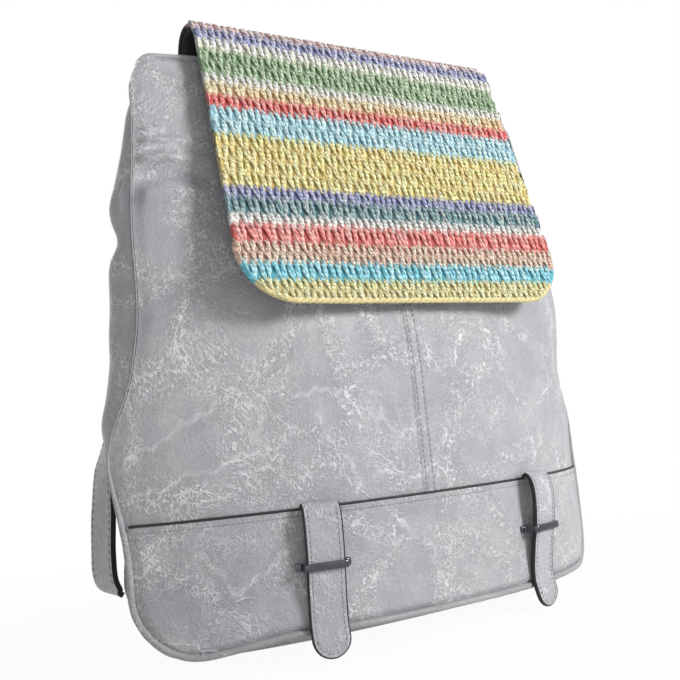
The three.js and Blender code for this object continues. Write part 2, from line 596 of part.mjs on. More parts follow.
for (const [side, sign] of [['left', -1], ['right', 1]]) {
  // Straight run behind the bag: s is measured from the ring towards the yoke, q out from the back.
  const ringAt = onBack(sign * RING_X, RING_Z, RUN_STANDOFF + STRAP_THICK / 2);
  const runEnd = onBack(sign * RUN_X, RUN_Z, RUN_STANDOFF + STRAP_THICK / 2);
  const up = ringAt.clone().sub(runEnd).normalize();
  const wide = backFace.clone().cross(up).normalize();
  const place = (s, q, w = 0) =>
    ringAt.clone().addScaledVector(up, s).addScaledVector(backFace, q).addScaledVector(wide, w);

  // Turn of a strip round a bar at s, from the inner layer to the outer one.
  const turn = (s, way) => steps(-Math.PI / 2, Math.PI / 2, 6).map((angle) => ({
    at: place(s + way * STRAP_TURN * Math.cos(angle), STRAP_TURN * (1 + Math.sin(angle))),
    face: up.clone().multiplyScalar(way * Math.cos(angle)).addScaledVector(backFace, Math.sin(angle)),
  }));

  // From the bottom corner the strap bows out beside the bag and wraps round to the back.
  // Its places are shares of the height, the inset and the bow; lean turns its face to the back.
  const beside = (rise, inset, bow, lean, under = 0) => {
    const z = lerp(STRAP_LOW, RUN_Z, rise);
    const x0 = outlineHalf(frontHalf, FRONT_SEAM, z, 0);
    const x1 = outlineHalf(backHalf, BACK_SEAM, z, 0);
    const y0 = frontY(x0, z);
    const slope = (x0 - x1) / (backY(z) - y0);
    const out = V(sign, slope, 0).normalize();
    const y = backY(z) - inset * STRAP_INSET;
    const skin = V(sign * (x1 + slope * (backY(z) - y) + STRAP_EASE), y, z);
    const face = V(sign, lean, 0).normalize().lerp(V(0, 0, -1), under);
    return [skin.addScaledVector(out, bow * STRAP_BOW + STRAP_THICK / 2), face];
  };
  const cornerX = sign * (backHalf(RUN_Z) + 2 * STRAP_THICK);
  const corner = V(cornerX, backY(RUN_Z) + 4 * STRAP_THICK, RUN_Z - 0.5 * STRAP_WIDTH);
  const route = [
    beside(0, 1, GAP / STRAP_BOW, 0, 0.85),
    beside(0.01, 1, 0.46, -0.06, 0.7),
    beside(0.042, 1, 0.85, -0.06, 0.3),
    beside(0.11, 0.95, 1, -0.06),
    beside(0.22, 0.8, 1, -0.06),
    beside(0.33, 0.35, 1.2, 0),
    beside(0.44, -0.25, 1, 0.15),
    beside(0.58, -0.55, 0.45, 0.3),
    beside(0.74, -0.6, 0.25, 0.5),
    beside(0.86, -0.5, 0.25, 0.8),
    [corner, V(sign, 1, 0)],
    [runEnd.clone(), backFace],
  ];
  const line = new THREE.CatmullRomCurve3(route.map(([p]) => p), false, 'centripetal');
  const faces = route.map(([, face]) => face);
  const run = steps(0, 1, 30).map((t) => {
    const k = Math.min(Math.floor(t * (faces.length - 1)), faces.length - 2);
    const share = t * (faces.length - 1) - k;
    return { at: line.getPoint(t), face: faces[k].clone().lerp(faces[k + 1], share) };
  });
  const back = turn(0, 1);
  const end = { at: place(-STRAP_RETURN, 2 * STRAP_TURN), face: backFace.clone().negate() };
  const inward = [...run.slice(0, -1), { at: runEnd, face: backFace }, ...back];
  const flipped = inward.map((station, i) => {
    if (i < run.length) return { ...station, width: STRAP_WIDTH };
    return { at: station.at, face: station.face.clone().negate(), width: STRAP_WIDTH };
  });
  flipped[run.length] = { ...flipped[run.length], face: backFace };
  add(`${side}_shoulder_strap`, strap([...flipped, { ...end, width: STRAP_WIDTH }], STRAP_THICK), STRAP_GREY);

  // Ring: four bars in the plane of the strap.
  const half = STRAP_WIDTH / 2 + GAP + RING_WIRE / 2 + 0.6;
  const loop = [[0, -half], [0, half], [RING_LENGTH, half], [RING_LENGTH, -half]];
  const mid = RING_LENGTH / 2;
  const ringRings = loop.map(([s, w]) => {
    const outS = Math.sign(s - mid) * RING_WIRE / 2;
    const outW = Math.sign(w) * RING_WIRE / 2;
    return [[1, 1], [1, -1], [-1, -1], [-1, 1]].map(([o, q]) =>
      place(s + o * outS, STRAP_TURN + (q * RING_WIRE) / 2, w + o * outW));
  });
  add(`${side}_strap_ring`, loft(ringRings, true), GUNMETAL);

  // Tab: a strip folded round the ring's upper bar and sewn to the yoke.
  const reach = (RING_X - YOKE_WIDTH / 2 - GAP) / Math.abs(up.x) - 3;
  const fold = turn(RING_LENGTH, -1);
  const tab = [
    { at: place(reach, 0), face: backFace },
    { at: place(RING_LENGTH + 0.5, 0), face: backFace },
    ...fold.slice(1, -1).map(({ at, face }) => ({ at, face: face.clone().negate() })),
    { at: place(RING_LENGTH + 0.5, 2 * STRAP_TURN), face: backFace.clone().negate() },
    { at: place(reach, 2 * STRAP_TURN), face: backFace.clone().negate() },
  ].map((station) => ({ ...station, width: STRAP_WIDTH - 4 }));
  add(`${side}_ring_tab`, strap(tab, LEATHER), STRAP_GREY);

  // Slider: a metal frame round both layers, with a bar between them.
  const centre = -SLIDER_AT;
  const high = 2 * STRAP_TURN + STRAP_THICK / 2 + GAP;
  const low = -STRAP_THICK / 2 - GAP;
  const wideIn = STRAP_WIDTH / 2 + GAP;
  const frameRings = [[low, -1], [low, 1], [high, 1], [high, -1]].map(([q, w]) => {
    const outQ = q > 0 ? SLIDER_WALL : -1.2;
    return [[0, -1], [0, 1], [1, 1], [1, -1]].map(([o, s]) =>
      place(centre + (s * SLIDER_LENGTH) / 2, q + o * outQ, w * (wideIn + o * SLIDER_WALL)));
  });
  add(`${side}_strap_slider`, loft(frameRings, true), GUNMETAL);
}

// The shell and its lining settle together.
const soft = /half|band|gusset|panel|piping|^lining/;
const spot = V(0, 0, 0);
for (const mesh of bag.children.filter(({ name }) => soft.test(name))) {
  const points = mesh.geometry.getAttribute('position');
  for (let i = 0; i < points.count; i++) {
    settle(spot.fromBufferAttribute(points, i));
    points.setXYZ(i, spot.x, spot.y, spot.z);
  }
}

// Centre the bag over the origin.
const box = new THREE.Box3().setFromObject(bag);
const middle = box.getCenter(V(0, 0, 0));
for (const mesh of bag.children) mesh.geometry.translate(-middle.x, -middle.y, 0);

export default bag;
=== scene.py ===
import json

import bpy
import numpy as np
from mathutils import Matrix, Vector

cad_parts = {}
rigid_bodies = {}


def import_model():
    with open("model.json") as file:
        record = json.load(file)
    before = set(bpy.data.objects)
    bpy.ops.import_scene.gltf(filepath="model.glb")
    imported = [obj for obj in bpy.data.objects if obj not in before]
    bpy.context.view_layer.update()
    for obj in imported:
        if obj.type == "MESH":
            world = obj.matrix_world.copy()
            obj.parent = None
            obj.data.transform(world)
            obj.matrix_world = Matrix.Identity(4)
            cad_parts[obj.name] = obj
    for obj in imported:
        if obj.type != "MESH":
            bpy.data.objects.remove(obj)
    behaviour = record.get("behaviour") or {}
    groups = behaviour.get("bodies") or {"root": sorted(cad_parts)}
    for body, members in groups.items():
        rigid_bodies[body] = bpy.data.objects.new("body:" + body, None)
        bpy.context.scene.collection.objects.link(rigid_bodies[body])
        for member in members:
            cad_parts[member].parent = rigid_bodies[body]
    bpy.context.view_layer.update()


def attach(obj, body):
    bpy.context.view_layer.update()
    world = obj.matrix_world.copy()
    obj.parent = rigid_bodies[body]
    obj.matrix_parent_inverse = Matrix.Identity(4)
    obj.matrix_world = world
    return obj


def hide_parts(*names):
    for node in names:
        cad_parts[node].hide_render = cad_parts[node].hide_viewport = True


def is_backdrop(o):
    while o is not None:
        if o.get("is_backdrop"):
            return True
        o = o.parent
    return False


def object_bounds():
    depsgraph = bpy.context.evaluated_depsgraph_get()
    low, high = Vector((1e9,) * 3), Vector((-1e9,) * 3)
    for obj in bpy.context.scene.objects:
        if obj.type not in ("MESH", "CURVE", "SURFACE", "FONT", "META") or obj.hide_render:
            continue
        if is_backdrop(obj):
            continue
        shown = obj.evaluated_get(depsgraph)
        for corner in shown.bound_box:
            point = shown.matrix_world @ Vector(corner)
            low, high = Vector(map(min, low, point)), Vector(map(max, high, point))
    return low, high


for spare in list(bpy.data.objects):
    bpy.data.objects.remove(spare)
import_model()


# Floor, light and camera. A pale seamless floor in a white room. One broad lamp stands to the right of
# the bag and two weak ones to its left, so the flap and the trim straps throw soft shadows to the left.
# One more lights the back.

WHITE = (1, 1, 1, 1)
FLOOR_HALF, FLOOR_Z = 4, -0.0004
BAG_MIDDLE = Vector((0, 0, 0.17))
CAMERA_AT = Vector((-0.32528, -0.48397, 0.11014))
YAW, PITCH, ROLL = 0.5769, 0.1047, -0.0976
SENSOR, FOCUS_PIXELS, PICTURE_PIXELS = 36, 950, 680
scene = bpy.context.scene
scene.view_settings.view_transform = "Standard"


def add(tree, kind, inputs=None, **settings):
    """One shader node: settings are its properties, inputs are values or sockets to link."""
    made = tree.nodes.new(kind)
    for key, value in settings.items():
        setattr(made, key, value)
    for key, value in (inputs or {}).items():
        if isinstance(value, bpy.types.NodeSocket):
            tree.links.new(value, made.inputs[key])
        else:
            made.inputs[key].default_value = value
    return made


def math(tree, operation, *values):
    """The result of one sum on values or sockets."""
    return add(tree, "ShaderNodeMath", dict(enumerate(values)), operation=operation).outputs[0]


def span(tree, value, low, high, start=0.0, end=1.0, **settings):
    """A value moved from one range to another."""
    return add(tree, "ShaderNodeMapRange", {"Value": value, "From Min": low, "From Max": high,
               "To Min": start, "To Max": end}, **settings).outputs[0]


def new_material(name):
    """An empty node material and its tree."""
    made = bpy.data.materials.new(name)
    made.use_nodes = True
    made.node_tree.nodes.clear()
    return made, made.node_tree


def seen_rays(tree):
    """1 for rays that show the background: straight, reflected or through glass."""
    path = add(tree, "ShaderNodeLightPath").outputs
    either = math(tree, "MAXIMUM", path["Is Camera Ray"], path["Is Glossy Ray"])
    return math(tree, "MAXIMUM", either, path["Is Transmission Ray"])


world = bpy.data.worlds.new("white_room")
world.use_nodes = True
world.node_tree.nodes.clear()
scene.world = world
room = world.node_tree
ambient = add(room, "ShaderNodeBackground", {"Color": WHITE, "Strength": 0.17}).outputs[0]
backdrop = add(room, "ShaderNodeBackground", {"Color": WHITE, "Strength": 1.0}).outputs[0]
room_mix = add(room, "ShaderNodeMixShader", {0: seen_rays(room), 1: ambient, 2: backdrop})
add(room, "ShaderNodeOutputWorld", {"Surface": room_mix.outputs[0]})

floor_paint, tree = new_material("floor_paint")
spot = add(tree, "ShaderNodeTexCoord")
reach = add(tree, "ShaderNodeVectorMath", {0: spot.outputs["Object"]}, operation="LENGTH")
away = math(tree, "MULTIPLY", span(tree, reach.outputs["Value"], 0.2, 0.6, 0.95), seen_rays(tree))
matt = add(tree, "ShaderNodeBsdfDiffuse", {"Color": (0.93, 0.93, 0.93, 1)}).outputs[0]
glow = add(tree, "ShaderNodeEmission", {"Color": WHITE, "Strength": 1.0}).outputs[0]
floor_mix = add(tree, "ShaderNodeMixShader", {0: away, 1: matt, 2: glow})
add(tree, "ShaderNodeOutputMaterial", {"Surface": floor_mix.outputs[0]})

floor_mesh = bpy.data.meshes.new("floor")
floor_corners = [(FLOOR_HALF * x, FLOOR_HALF * y, FLOOR_Z) for x, y in ((-1, -1), (1, -1), (1, 1), (-1, 1))]
floor_mesh.from_pydata(floor_corners, [], [(0, 1, 2, 3)])
floor_mesh.materials.append(floor_paint)
floor = bpy.data.objects.new("floor", floor_mesh)
scene.collection.objects.link(floor)
floor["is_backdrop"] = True

for name, place, size, power in (
        ("key_lamp", (0.70, -1.25, 0.70), 0.45, 20), ("fill_lamp", (-0.9, -1.3, 0.5), 1.2, 2.7),
        ("side_lamp", (-0.9, -0.25, 0.05), 0.6, 0.7), ("back_lamp", (0.3, 1.4, 0.8), 1.0, 9)):
    light = bpy.data.lights.new(name, "AREA")
    light.size = size
    light.energy = power
    lamp = bpy.data.objects.new(name, light)
    lamp.location = place
    lamp.rotation_euler = (BAG_MIDDLE - Vector(place)).to_track_quat("-Z", "Y").to_euler()
    scene.collection.objects.link(lamp)

ahead = Vector((np.sin(YAW) * np.cos(PITCH), np.cos(YAW) * np.cos(PITCH), np.sin(PITCH)))
level = Vector((np.cos(YAW), -np.sin(YAW), 0))
right = level * np.cos(ROLL) + level.cross(ahead) * np.sin(ROLL)
above = right.cross(ahead)
camera_data = bpy.data.cameras.new("camera")
camera_data.sensor_width = SENSOR
camera_data.lens = FOCUS_PIXELS / PICTURE_PIXELS * SENSOR
camera_data.clip_start = 0.01
camera = bpy.data.objects.new("camera", camera_data)
camera.matrix_world = Matrix([(*right, 0), (*above, 0), (*-ahead, 0), (*CAMERA_AT, 1)]).transposed()
scene.collection.objects.link(camera)
scene.camera = camera


# Front halves. Two upper halves of the front, cut from grey coated leather with a pale crackle. The left
# half is folded over and laps the right one at the middle, held by two rows of topstitching.

WIDTH, WAIST_WIDTH, MOUTH_WIDTH, HEIGHT = 321, 300, 282, 330
LEAN_HEIGHT, LEAN_BLEND, MOUTH_FRONT = 168, 16, 40
EDGE_SETBACK, EDGE_SETBACK_TOP, FRONT_CURVE = 52, 8, 2.6
FRONT_SEAM, CORNER, TOP_DROP, BAND_TOP = 15, 30, 5, 77
EDGE_DRAW, EDGE_BELLY, EDGE_FULL, CORNER_DROOP = 14.5, 8, 2, 6
DEPTH, MOUTH_BACK, BACK_SEAM = 130, 60, 12
PIPING, GAP, LEATHER, THIN_LEATHER, LAP_EDGE, LAP_WIDTH = 4.2, 0.4, 2.0, 1.6, 1.5, 10
MOUTH_RAISE, MOUTH_ROUND, MOUTH_DRAW = 3, 9, 3  # the mouth edge, and its corners' drop and draw
SEAM_INSET = 0.5  # the edges reach under the piping
CREASE_WIDTH, CREASE_RISE = 1.15, 0.25
LAP_SEWING = (-2.6, -7.4)
ROW_PLACE = np.array([3.289, -62.851, 0])  # the front's middle, in the row's frame


def row(points):
    """Millimetres in the bag's frame, y from the front's middle, to metres in the row's frame."""
    return (np.asarray(points, float) + ROW_PLACE) / 1000


def smooth(x, a, b):
    """0 before a, 1 after b, and 3t^2 - 2t^3 between them."""
    t = np.clip((x - a) / (b - a), 0, 1)
    return t * t * (3 - 2 * t)


def mix(a, b, t):
    """The straight mix of a and b at share t."""
    return a + (b - a) * t


def front_half(z):
    """Half width of the front at height z: full at the band, waisted above, narrower at the mouth."""
    full = 1 - smooth(z, 1.36 * BAND_TOP, 2 * BAND_TOP)
    taper = smooth(z, 0.62 * HEIGHT, HEIGHT)
    return WAIST_WIDTH / 2 + (WIDTH - WAIST_WIDTH) / 2 * full - (WAIST_WIDTH - MOUTH_WIDTH) / 2 * taper


def outline_half(half, seam, z, inset):
    """Half width of a panel inset from its seam: a quarter circle below the corner's height."""
    rise = np.maximum(seam + CORNER - z, 0)
    arc = np.sqrt(np.maximum((CORNER - inset) ** 2 - rise ** 2, 0))
    corner_half = half(np.asarray(seam + CORNER, float))
    return np.where(rise > 0, corner_half - CORNER + arc, half(z) - inset)


def front_y(x, z):
    """Depth of the front: a soft ramp back above the lean height, plus a power curve to the sides."""
    over = z - LEAN_HEIGHT
    ramp = (np.hypot(over, LEAN_BLEND) + over) / 2
    full = (np.hypot(HEIGHT - LEAN_HEIGHT, LEAN_BLEND) + HEIGHT - LEAN_HEIGHT) / 2
    setback = mix(EDGE_SETBACK, EDGE_SETBACK_TOP, smooth(z, 1.1 * BAND_TOP, 0.97 * HEIGHT))
    return MOUTH_FRONT * ramp / full + setback * np.abs(x / front_half(z)) ** FRONT_CURVE


def back_y(z):
    """Depth of the back panel, which leans forward to the mouth in a straight line."""
    return mix(DEPTH, MOUTH_BACK, (z - BACK_SEAM) / (HEIGHT - BACK_SEAM))


def settle(points):
    """The empty bag's shell after it has settled: less towards the back, the upper right edge is drawn in,
    the left edge swells above the band and in its upper part, and the lower left corner hangs."""
    x, y, z = np.moveaxis(np.asarray(points, float), -1, 0)
    edge = front_y(front_half(z), z)
    back = np.clip((y - edge) / (back_y(z) - edge), 0, 1)
    left = smooth(-x, 0.27 * WIDTH, 0.44 * WIDTH)
    right = smooth(x, 0.27 * WIDTH, 0.4 * WIDTH)
    high = 0.67 * smooth(z, 0.54 * HEIGHT, 0.72 * HEIGHT) + 0.33 * smooth(z, 0.72 * HEIGHT, 0.97 * HEIGHT)
    belly = smooth(z, 0.72 * BAND_TOP, 1.53 * BAND_TOP) * (1 - smooth(z, 1.58 * BAND_TOP, 2.5 * BAND_TOP))
    low = (1 - smooth(z, FRONT_SEAM, 1.1 * BAND_TOP)) * np.clip(z / FRONT_SEAM, 0, 1)
    full = smooth(z, 0.6 * HEIGHT, 0.75 * HEIGHT) * (1 - smooth(z, 0.94 * HEIGHT, HEIGHT))
    move = EDGE_FULL * left * full + EDGE_DRAW * right * high * (1 - back)
    move = move + EDGE_BELLY * left * belly * (1 - smooth(back, 0.1, 0.6))
    return np.stack([x - move, y, z - CORNER_DROOP * left * low * (1 - back)], -1)


def front_top(u):
    """Height of the mouth edge across the front: it drops towards the sides and is rounded at the corners."""
    corner = np.clip((np.abs(u) - 0.94) / 0.065, 0, 1)
    return HEIGHT + MOUTH_RAISE - TOP_DROP * 0.6 * u ** 2 - MOUTH_ROUND * (1 - np.sqrt(1 - corner ** 2))


def buckles(x, z, seed, size):
    """Soft buckles of leather from -1 to 1: eight sine waves of about size mm, each bent by a slower one."""
    rng = np.random.default_rng(seed)
    height = 0
    for _ in range(8):
        turn, phase, bend = rng.uniform(0, 2 * np.pi, 3)
        wave = size * rng.uniform(0.6, 1.7)
        along = (x * np.cos(turn) + z * np.sin(turn)) / wave
        across = (z * np.cos(turn) - x * np.sin(turn)) / wave
        height = height + np.sin(2 * np.pi * along + 1.5 * np.sin(3.8 * across + bend) + phase)
    return height / 8


def bump_line(distance, width):
    """A rounded ridge: exp of minus the squared distance over the squared width."""
    return np.exp(-(distance / width) ** 2)


def grid_faces(rows, columns, joined=False):
    """Corner numbers of the quads of a grid; joined closes the last column onto the first."""
    i, j = np.meshgrid(np.arange(rows - 1), np.arange(columns if joined else columns - 1), indexing="ij")
    near, next_one = i * columns, (j + 1) % columns
    quads = [near + j, near + next_one, near + columns + next_one, near + columns + j]
    return np.stack(quads, -1).reshape(-1, 4)


def put_mesh(name, points, faces, materials, uv=None, colours=None, called="yarn_colour"):
    """A mesh object at the origin from whole arrays: points in metres, faces, and uv and named colours for
    each point."""
    mesh = bpy.data.meshes.new(name)
    mesh.from_pydata(np.asarray(points).reshape(-1, 3).tolist(), [], [list(f) for f in faces])
    for material in materials:
        mesh.materials.append(material)
    corner = np.zeros(len(mesh.loops), np.int32)
    mesh.loops.foreach_get("vertex_index", corner)
    if uv is not None:
        layer = mesh.uv_layers.new(name="UVMap")
        layer.data.foreach_set("uv", np.asarray(uv, np.float32).reshape(-1, 2)[corner].ravel())
    if colours is not None:
        layer = mesh.attributes.new(called, "FLOAT_COLOR", "POINT")
        full = np.concatenate([colours, np.ones((len(colours), 1))], 1)
        layer.data.foreach_set("color", full.astype(np.float32).ravel())
    mesh.shade_smooth()
    made = bpy.data.objects.new(name, mesh)
    scene.collection.objects.link(made)
    return made


def put_sheet(name, grid, thickness, materials, offset=-1.0, bevel=0.4, joined=False, **colouring):
    """A sheet from a grid of outer points in mm, thickened with a rim that takes the second material."""
    rows, columns = grid.shape[:2]
    step_down = np.linalg.norm(np.diff(grid, axis=0), axis=2)
    step_over = np.linalg.norm(np.diff(grid, axis=1), axis=2)
    down = np.concatenate([np.zeros((1, columns)), np.cumsum(step_down, 0)])
    over = np.concatenate([np.zeros((rows, 1)), np.cumsum(step_over, 1)], 1)
    uv = np.stack([over - over[:, -1:] / 2, down], -1) / 1000
    made = put_mesh(name, row(grid), grid_faces(rows, columns, joined), materials, uv, **colouring)
    wall = made.modifiers.new("thickness", "SOLIDIFY")
    wall.thickness = thickness / 1000
    wall.offset = offset
    wall.use_even_offset = True
    wall.material_offset_rim = len(materials) - 1
    if bevel:
        rounded = made.modifiers.new("rounded_edge", "BEVEL")
        rounded.width = bevel / 1000
        rounded.segments = 2
        rounded.limit_method = "ANGLE"
        rounded.angle_limit = 0.9
        rounded.harden_normals = True
    return made


def noise(tree, vector, scale, detail, roughness=0.5):
    """A noise between 0 and 1."""
    return add(tree, "ShaderNodeTexNoise", {"Vector": vector, "Scale": scale, "Detail": detail,
               "Roughness": roughness}).outputs["Fac"]


def crackle_group():
    """Pale crackle of the coated leather: a few long creases, with wide bands of fine specks and a net of
    hair cracks beside them, and smooth ground between the bands."""
    group = bpy.data.node_groups.new("crackle", "ShaderNodeTree")
    group.interface.new_socket("Vector", in_out="INPUT", socket_type="NodeSocketVector")
    group.interface.new_socket("Cover", in_out="INPUT", socket_type="NodeSocketFloat")
    for name in ("Vein", "Tone", "Height"):
        group.interface.new_socket(name, in_out="OUTPUT", socket_type="NodeSocketFloat")
    enter = group.nodes.new("NodeGroupInput")
    leave = group.nodes.new("NodeGroupOutput")

    def times(a, b):
        return math(group, "MULTIPLY", a, b)

    def most(a, b):
        return math(group, "MAXIMUM", a, b)

    def bend(vector, scale, by):
        wave = add(group, "ShaderNodeTexNoise", {"Vector": vector, "Scale": scale, "Detail": 2.0})
        pull = add(group, "ShaderNodeVectorMath", {0: wave.outputs["Color"], 1: (0.5, 0.5, 0.5)},
                   operation="SUBTRACT")
        return add(group, "ShaderNodeVectorMath", {0: pull.outputs[0], 1: (by, by, by), 2: vector},
                   operation="MULTIPLY_ADD").outputs[0]

    def mottle(scale, detail, vector, roughness=0.55):
        return noise(group, vector, scale, detail, roughness)

    def soft(value, low, high, start=0.0, end=1.0):
        return span(group, value, low, high, start, end, interpolation_type="SMOOTHSTEP")

    def cells(scale, vector):
        return add(group, "ShaderNodeTexVoronoi", {"Vector": vector, "Scale": scale},
                   feature="DISTANCE_TO_EDGE").outputs["Distance"]

    vector = enter.outputs["Vector"]
    slow = bend(vector, 13.0, 0.055)
    bent = bend(slow, 150.0, 0.0065)
    crease = cells(21.0, bent)
    area = times(soft(crease, 0.01, 0.19, 1.0, 0.0), soft(mottle(12.0, 2.0, vector), 0.32, 0.50))
    area = most(area, times(soft(mottle(19.0, 3.0, slow), 0.50, 0.66), 0.6))
    area = times(math(group, "MULTIPLY_ADD", area, 0.85, 0.15), enter.outputs["Cover"])
    line = times(soft(crease, 0.002, 0.014, 1.0, 0.0), soft(mottle(40.0, 2.0, vector), 0.44, 0.56))
    specks = soft(mottle(760.0, 2.5, bent, 0.65), 0.46, 0.64)
    net = times(soft(cells(310.0, bend(vector, 140.0, 0.007)), 0.02, 0.15, 1.0, 0.0),
                soft(mottle(120.0, 2.0, slow), 0.42, 0.60))
    cracks = most(specks, times(net, 0.75))
    vein = most(times(line, 0.8), math(group, "MULTIPLY_ADD", cracks, area, times(area, 0.10)))
    group.links.new(vein, leave.inputs["Vein"])
    tone = math(group, "ADD", times(mottle(9.0, 3.0, vector), 0.6), times(mottle(60.0, 3.0, vector), 0.4))
    group.links.new(tone, leave.inputs["Tone"])
    pores = add(group, "ShaderNodeTexVoronoi", {"Vector": bent, "Scale": 620.0}, feature="SMOOTH_F1")
    grain = math(group, "ADD", times(pores.outputs["Distance"], 0.2), times(mottle(230.0, 3.0, vector), 0.4))
    group.links.new(math(group, "ADD", grain, times(vein, 0.8)), leave.inputs["Height"])
    return group


CRACKLE = crackle_group()


def linear(colour):
    """A colour given as 0 to 255 screen values, as linear shares."""
    share = np.asarray(colour, float) / 255
    return np.where(share <= 0.04045, share / 12.92, ((share + 0.055) / 1.055) ** 2.4)


def rgba(colour):
    """The same as four numbers for a socket."""
    return (*linear(colour), 1.0)


def mixed(tree, share, a, b):
    """Two colours mixed by a share; each may be a socket."""
    return add(tree, "ShaderNodeMix", {0: share, 6: a, 7: b}, data_type="RGBA").outputs[2]


def raised(tree, height, strength, distance):
    """The normal of a surface that is raised by a height."""
    inputs = {"Height": height, "Strength": strength, "Distance": distance}
    return add(tree, "ShaderNodeBump", inputs).outputs[0]


def shaded(tree, inputs):
    """The shader and the output of a material."""
    shader = add(tree, "ShaderNodeBsdfPrincipled", inputs)
    add(tree, "ShaderNodeOutputMaterial", {"Surface": shader.outputs[0]})


def leather(name, dark, light, vein, cover, strength, rough=0.42):
    """Coated leather: a mottled ground between two greys, pale veins over it, white cracks along the long
    creases and a fine raised grain."""
    made, tree = new_material(name)
    spot = add(tree, "ShaderNodeTexCoord").outputs["Object"]
    crackle = add(tree, "ShaderNodeGroup", {"Vector": spot, "Cover": cover}, node_tree=CRACKLE).outputs
    veins, tone = crackle["Vein"], crackle["Tone"]
    ground = mixed(tree, span(tree, tone, 0.36, 0.64), rgba(dark), rgba(light))
    fold = add(tree, "ShaderNodeAttribute", attribute_name="crease").outputs["Fac"]
    pale = math(tree, "MULTIPLY", fold, span(tree, veins, 0.0, 0.7, 0.3))
    share = math(tree, "MAXIMUM", math(tree, "MULTIPLY", veins, strength), pale)
    shaded(tree, {"Base Color": mixed(tree, share, ground, rgba(vein)), "Specular IOR Level": 0.38,
                  "Roughness": span(tree, tone, 0.3, 0.7, rough + 0.08, rough - 0.06),
                  "Normal": raised(tree, crackle["Height"], 0.7, 0.0012)})
    return made


BODY_LEATHER = leather("body_leather", (154, 153, 159), (178, 178, 181), (240, 240, 243), 1.0, 0.78)


def plain(name, colour, rough, metal=0.0, speckle=120.0, depth=0.2):
    """A plain finish with a fine speckle in its colour, gloss and surface."""
    made, tree = new_material(name)
    dust = noise(tree, add(tree, "ShaderNodeTexCoord").outputs["Object"], speckle, 4.0)
    colour = np.asarray(colour)
    shade = mixed(tree, dust, rgba(colour * 0.82), rgba(np.minimum(colour * 1.14, 255)))
    shaded(tree, {"Base Color": shade, "Roughness": span(tree, dust, 0.3, 0.7, rough - 0.08, rough + 0.08),
                  "Normal": raised(tree, dust, depth, 0.0003), "Metallic": metal})
    return made


THREAD = plain("sewing_thread", (150, 150, 154), 0.6, speckle=900.0)


def unit(vectors):
    """Vectors of length one."""
    return vectors / np.linalg.norm(vectors, axis=-1, keepdims=True)


def length_along(path):
    """Distance along a line of points, from its start."""
    return np.concatenate([[0], np.cumsum(np.linalg.norm(np.diff(path, axis=0), axis=1))])


def at_length(path, values, place):
    """Values given at the points of a line, read at distances along it."""
    along = length_along(path)
    return np.stack([np.interp(place, along, values[:, k]) for k in range(values.shape[1])], 1)


def many(faces, points, count):
    """The faces of one shape, of so many points, for a count of such shapes."""
    faces = np.asarray(faces)
    shift = np.arange(count) * points
    return (faces + shift[:, None, None]).reshape(-1, faces.shape[1]).tolist()


def stitches(name, lines, pitch=4.2, length=3.0, radius=0.42):
    """Sewing along lines of points and outward directions, in mm: each stitch is a bead of thread,
    five rings of six points, that dips into the leather at both ends."""
    along, angle = np.meshgrid(np.linspace(-1, 1, 5), -np.arange(6) * np.pi / 3, indexing="ij")
    thick = radius * np.sqrt(1 - 0.8 * along ** 2)
    lift = radius * (0.5 - 0.9 * along ** 2)
    beads = []
    for path, out in lines:
        whole = length_along(path)[-1]
        count = max(int(whole / pitch), 1)
        place = (np.arange(count) + 0.5) * whole / count
        centre = at_length(path, path, place)
        ahead = unit(at_length(path, path, place + 0.4) - at_length(path, path, place - 0.4))
        up = unit(at_length(path, out, place))
        side = unit(np.cross(ahead, up))
        beads.append(centre[:, None, None] + ahead[:, None, None] * (along * length / 2)[..., None]
                     + side[:, None, None] * (thick * np.cos(angle))[..., None]
                     + up[:, None, None] * (thick * np.sin(angle) + lift)[..., None])
    beads = np.concatenate(beads)
    walls = many(grid_faces(5, 6, joined=True), 30, len(beads))
    ends = many([range(5, -1, -1)], 30, len(beads)) + many([range(24, 30)], 30, len(beads))
    return put_mesh(name, row(beads.reshape(-1, 3)), walls + ends, [THREAD])


def fit(piece, slot, *nodes, body="bag"):
    """The piece moves with a body and stands for its solids, which are hidden; the slot is not used."""
    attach(piece, body)
    if nodes:
        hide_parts(*nodes)
    return piece


def front_relief(x, z):
    """How far the front's leather stands out, in mm: slow buckles, smaller ones and three long slanting
    folds at the lower left."""
    slant = z - 104 - 0.75 * (x + 145)
    folds = 1.5 * bump_line(slant, 6) + 1.3 * bump_line(slant + 23, 7) + 1.1 * bump_line(slant - 26, 7)
    folds = folds * bump_line(x + 112, 40) * smooth(z, BAND_TOP, 1.2 * BAND_TOP)
    return 0.9 * buckles(x, z, 3, 95) + 0.3 * buckles(x, z, 8, 34) + folds


# Long creases where the coating has cracked white, as x and z in mm.
CREASES = [
    [(-112, 141), (-97, 131), (-101, 119), (-93, 106), (-86, 86)],
    [(-72, 124), (-62, 108), (-51, 97), (-51, 82)], [(-55, 132), (-29, 118), (-23, 109), (-7, 118)],
    [(-84, 137), (-47, 136)], [(-37, 95), (-24, 85), (-9, 89)], [(-133, 62), (-114, 40), (-93, 58)],
    [(-35, 69), (-7, 46), (-8, 28)], [(-157, 106), (-112, 136)], [(-154, 90), (-100, 109)],
    [(123, 137), (150, 116)], [(66, 98), (88, 99)], [(-143, 272), (-122, 276)], [(-144, 265), (-122, 268)]]


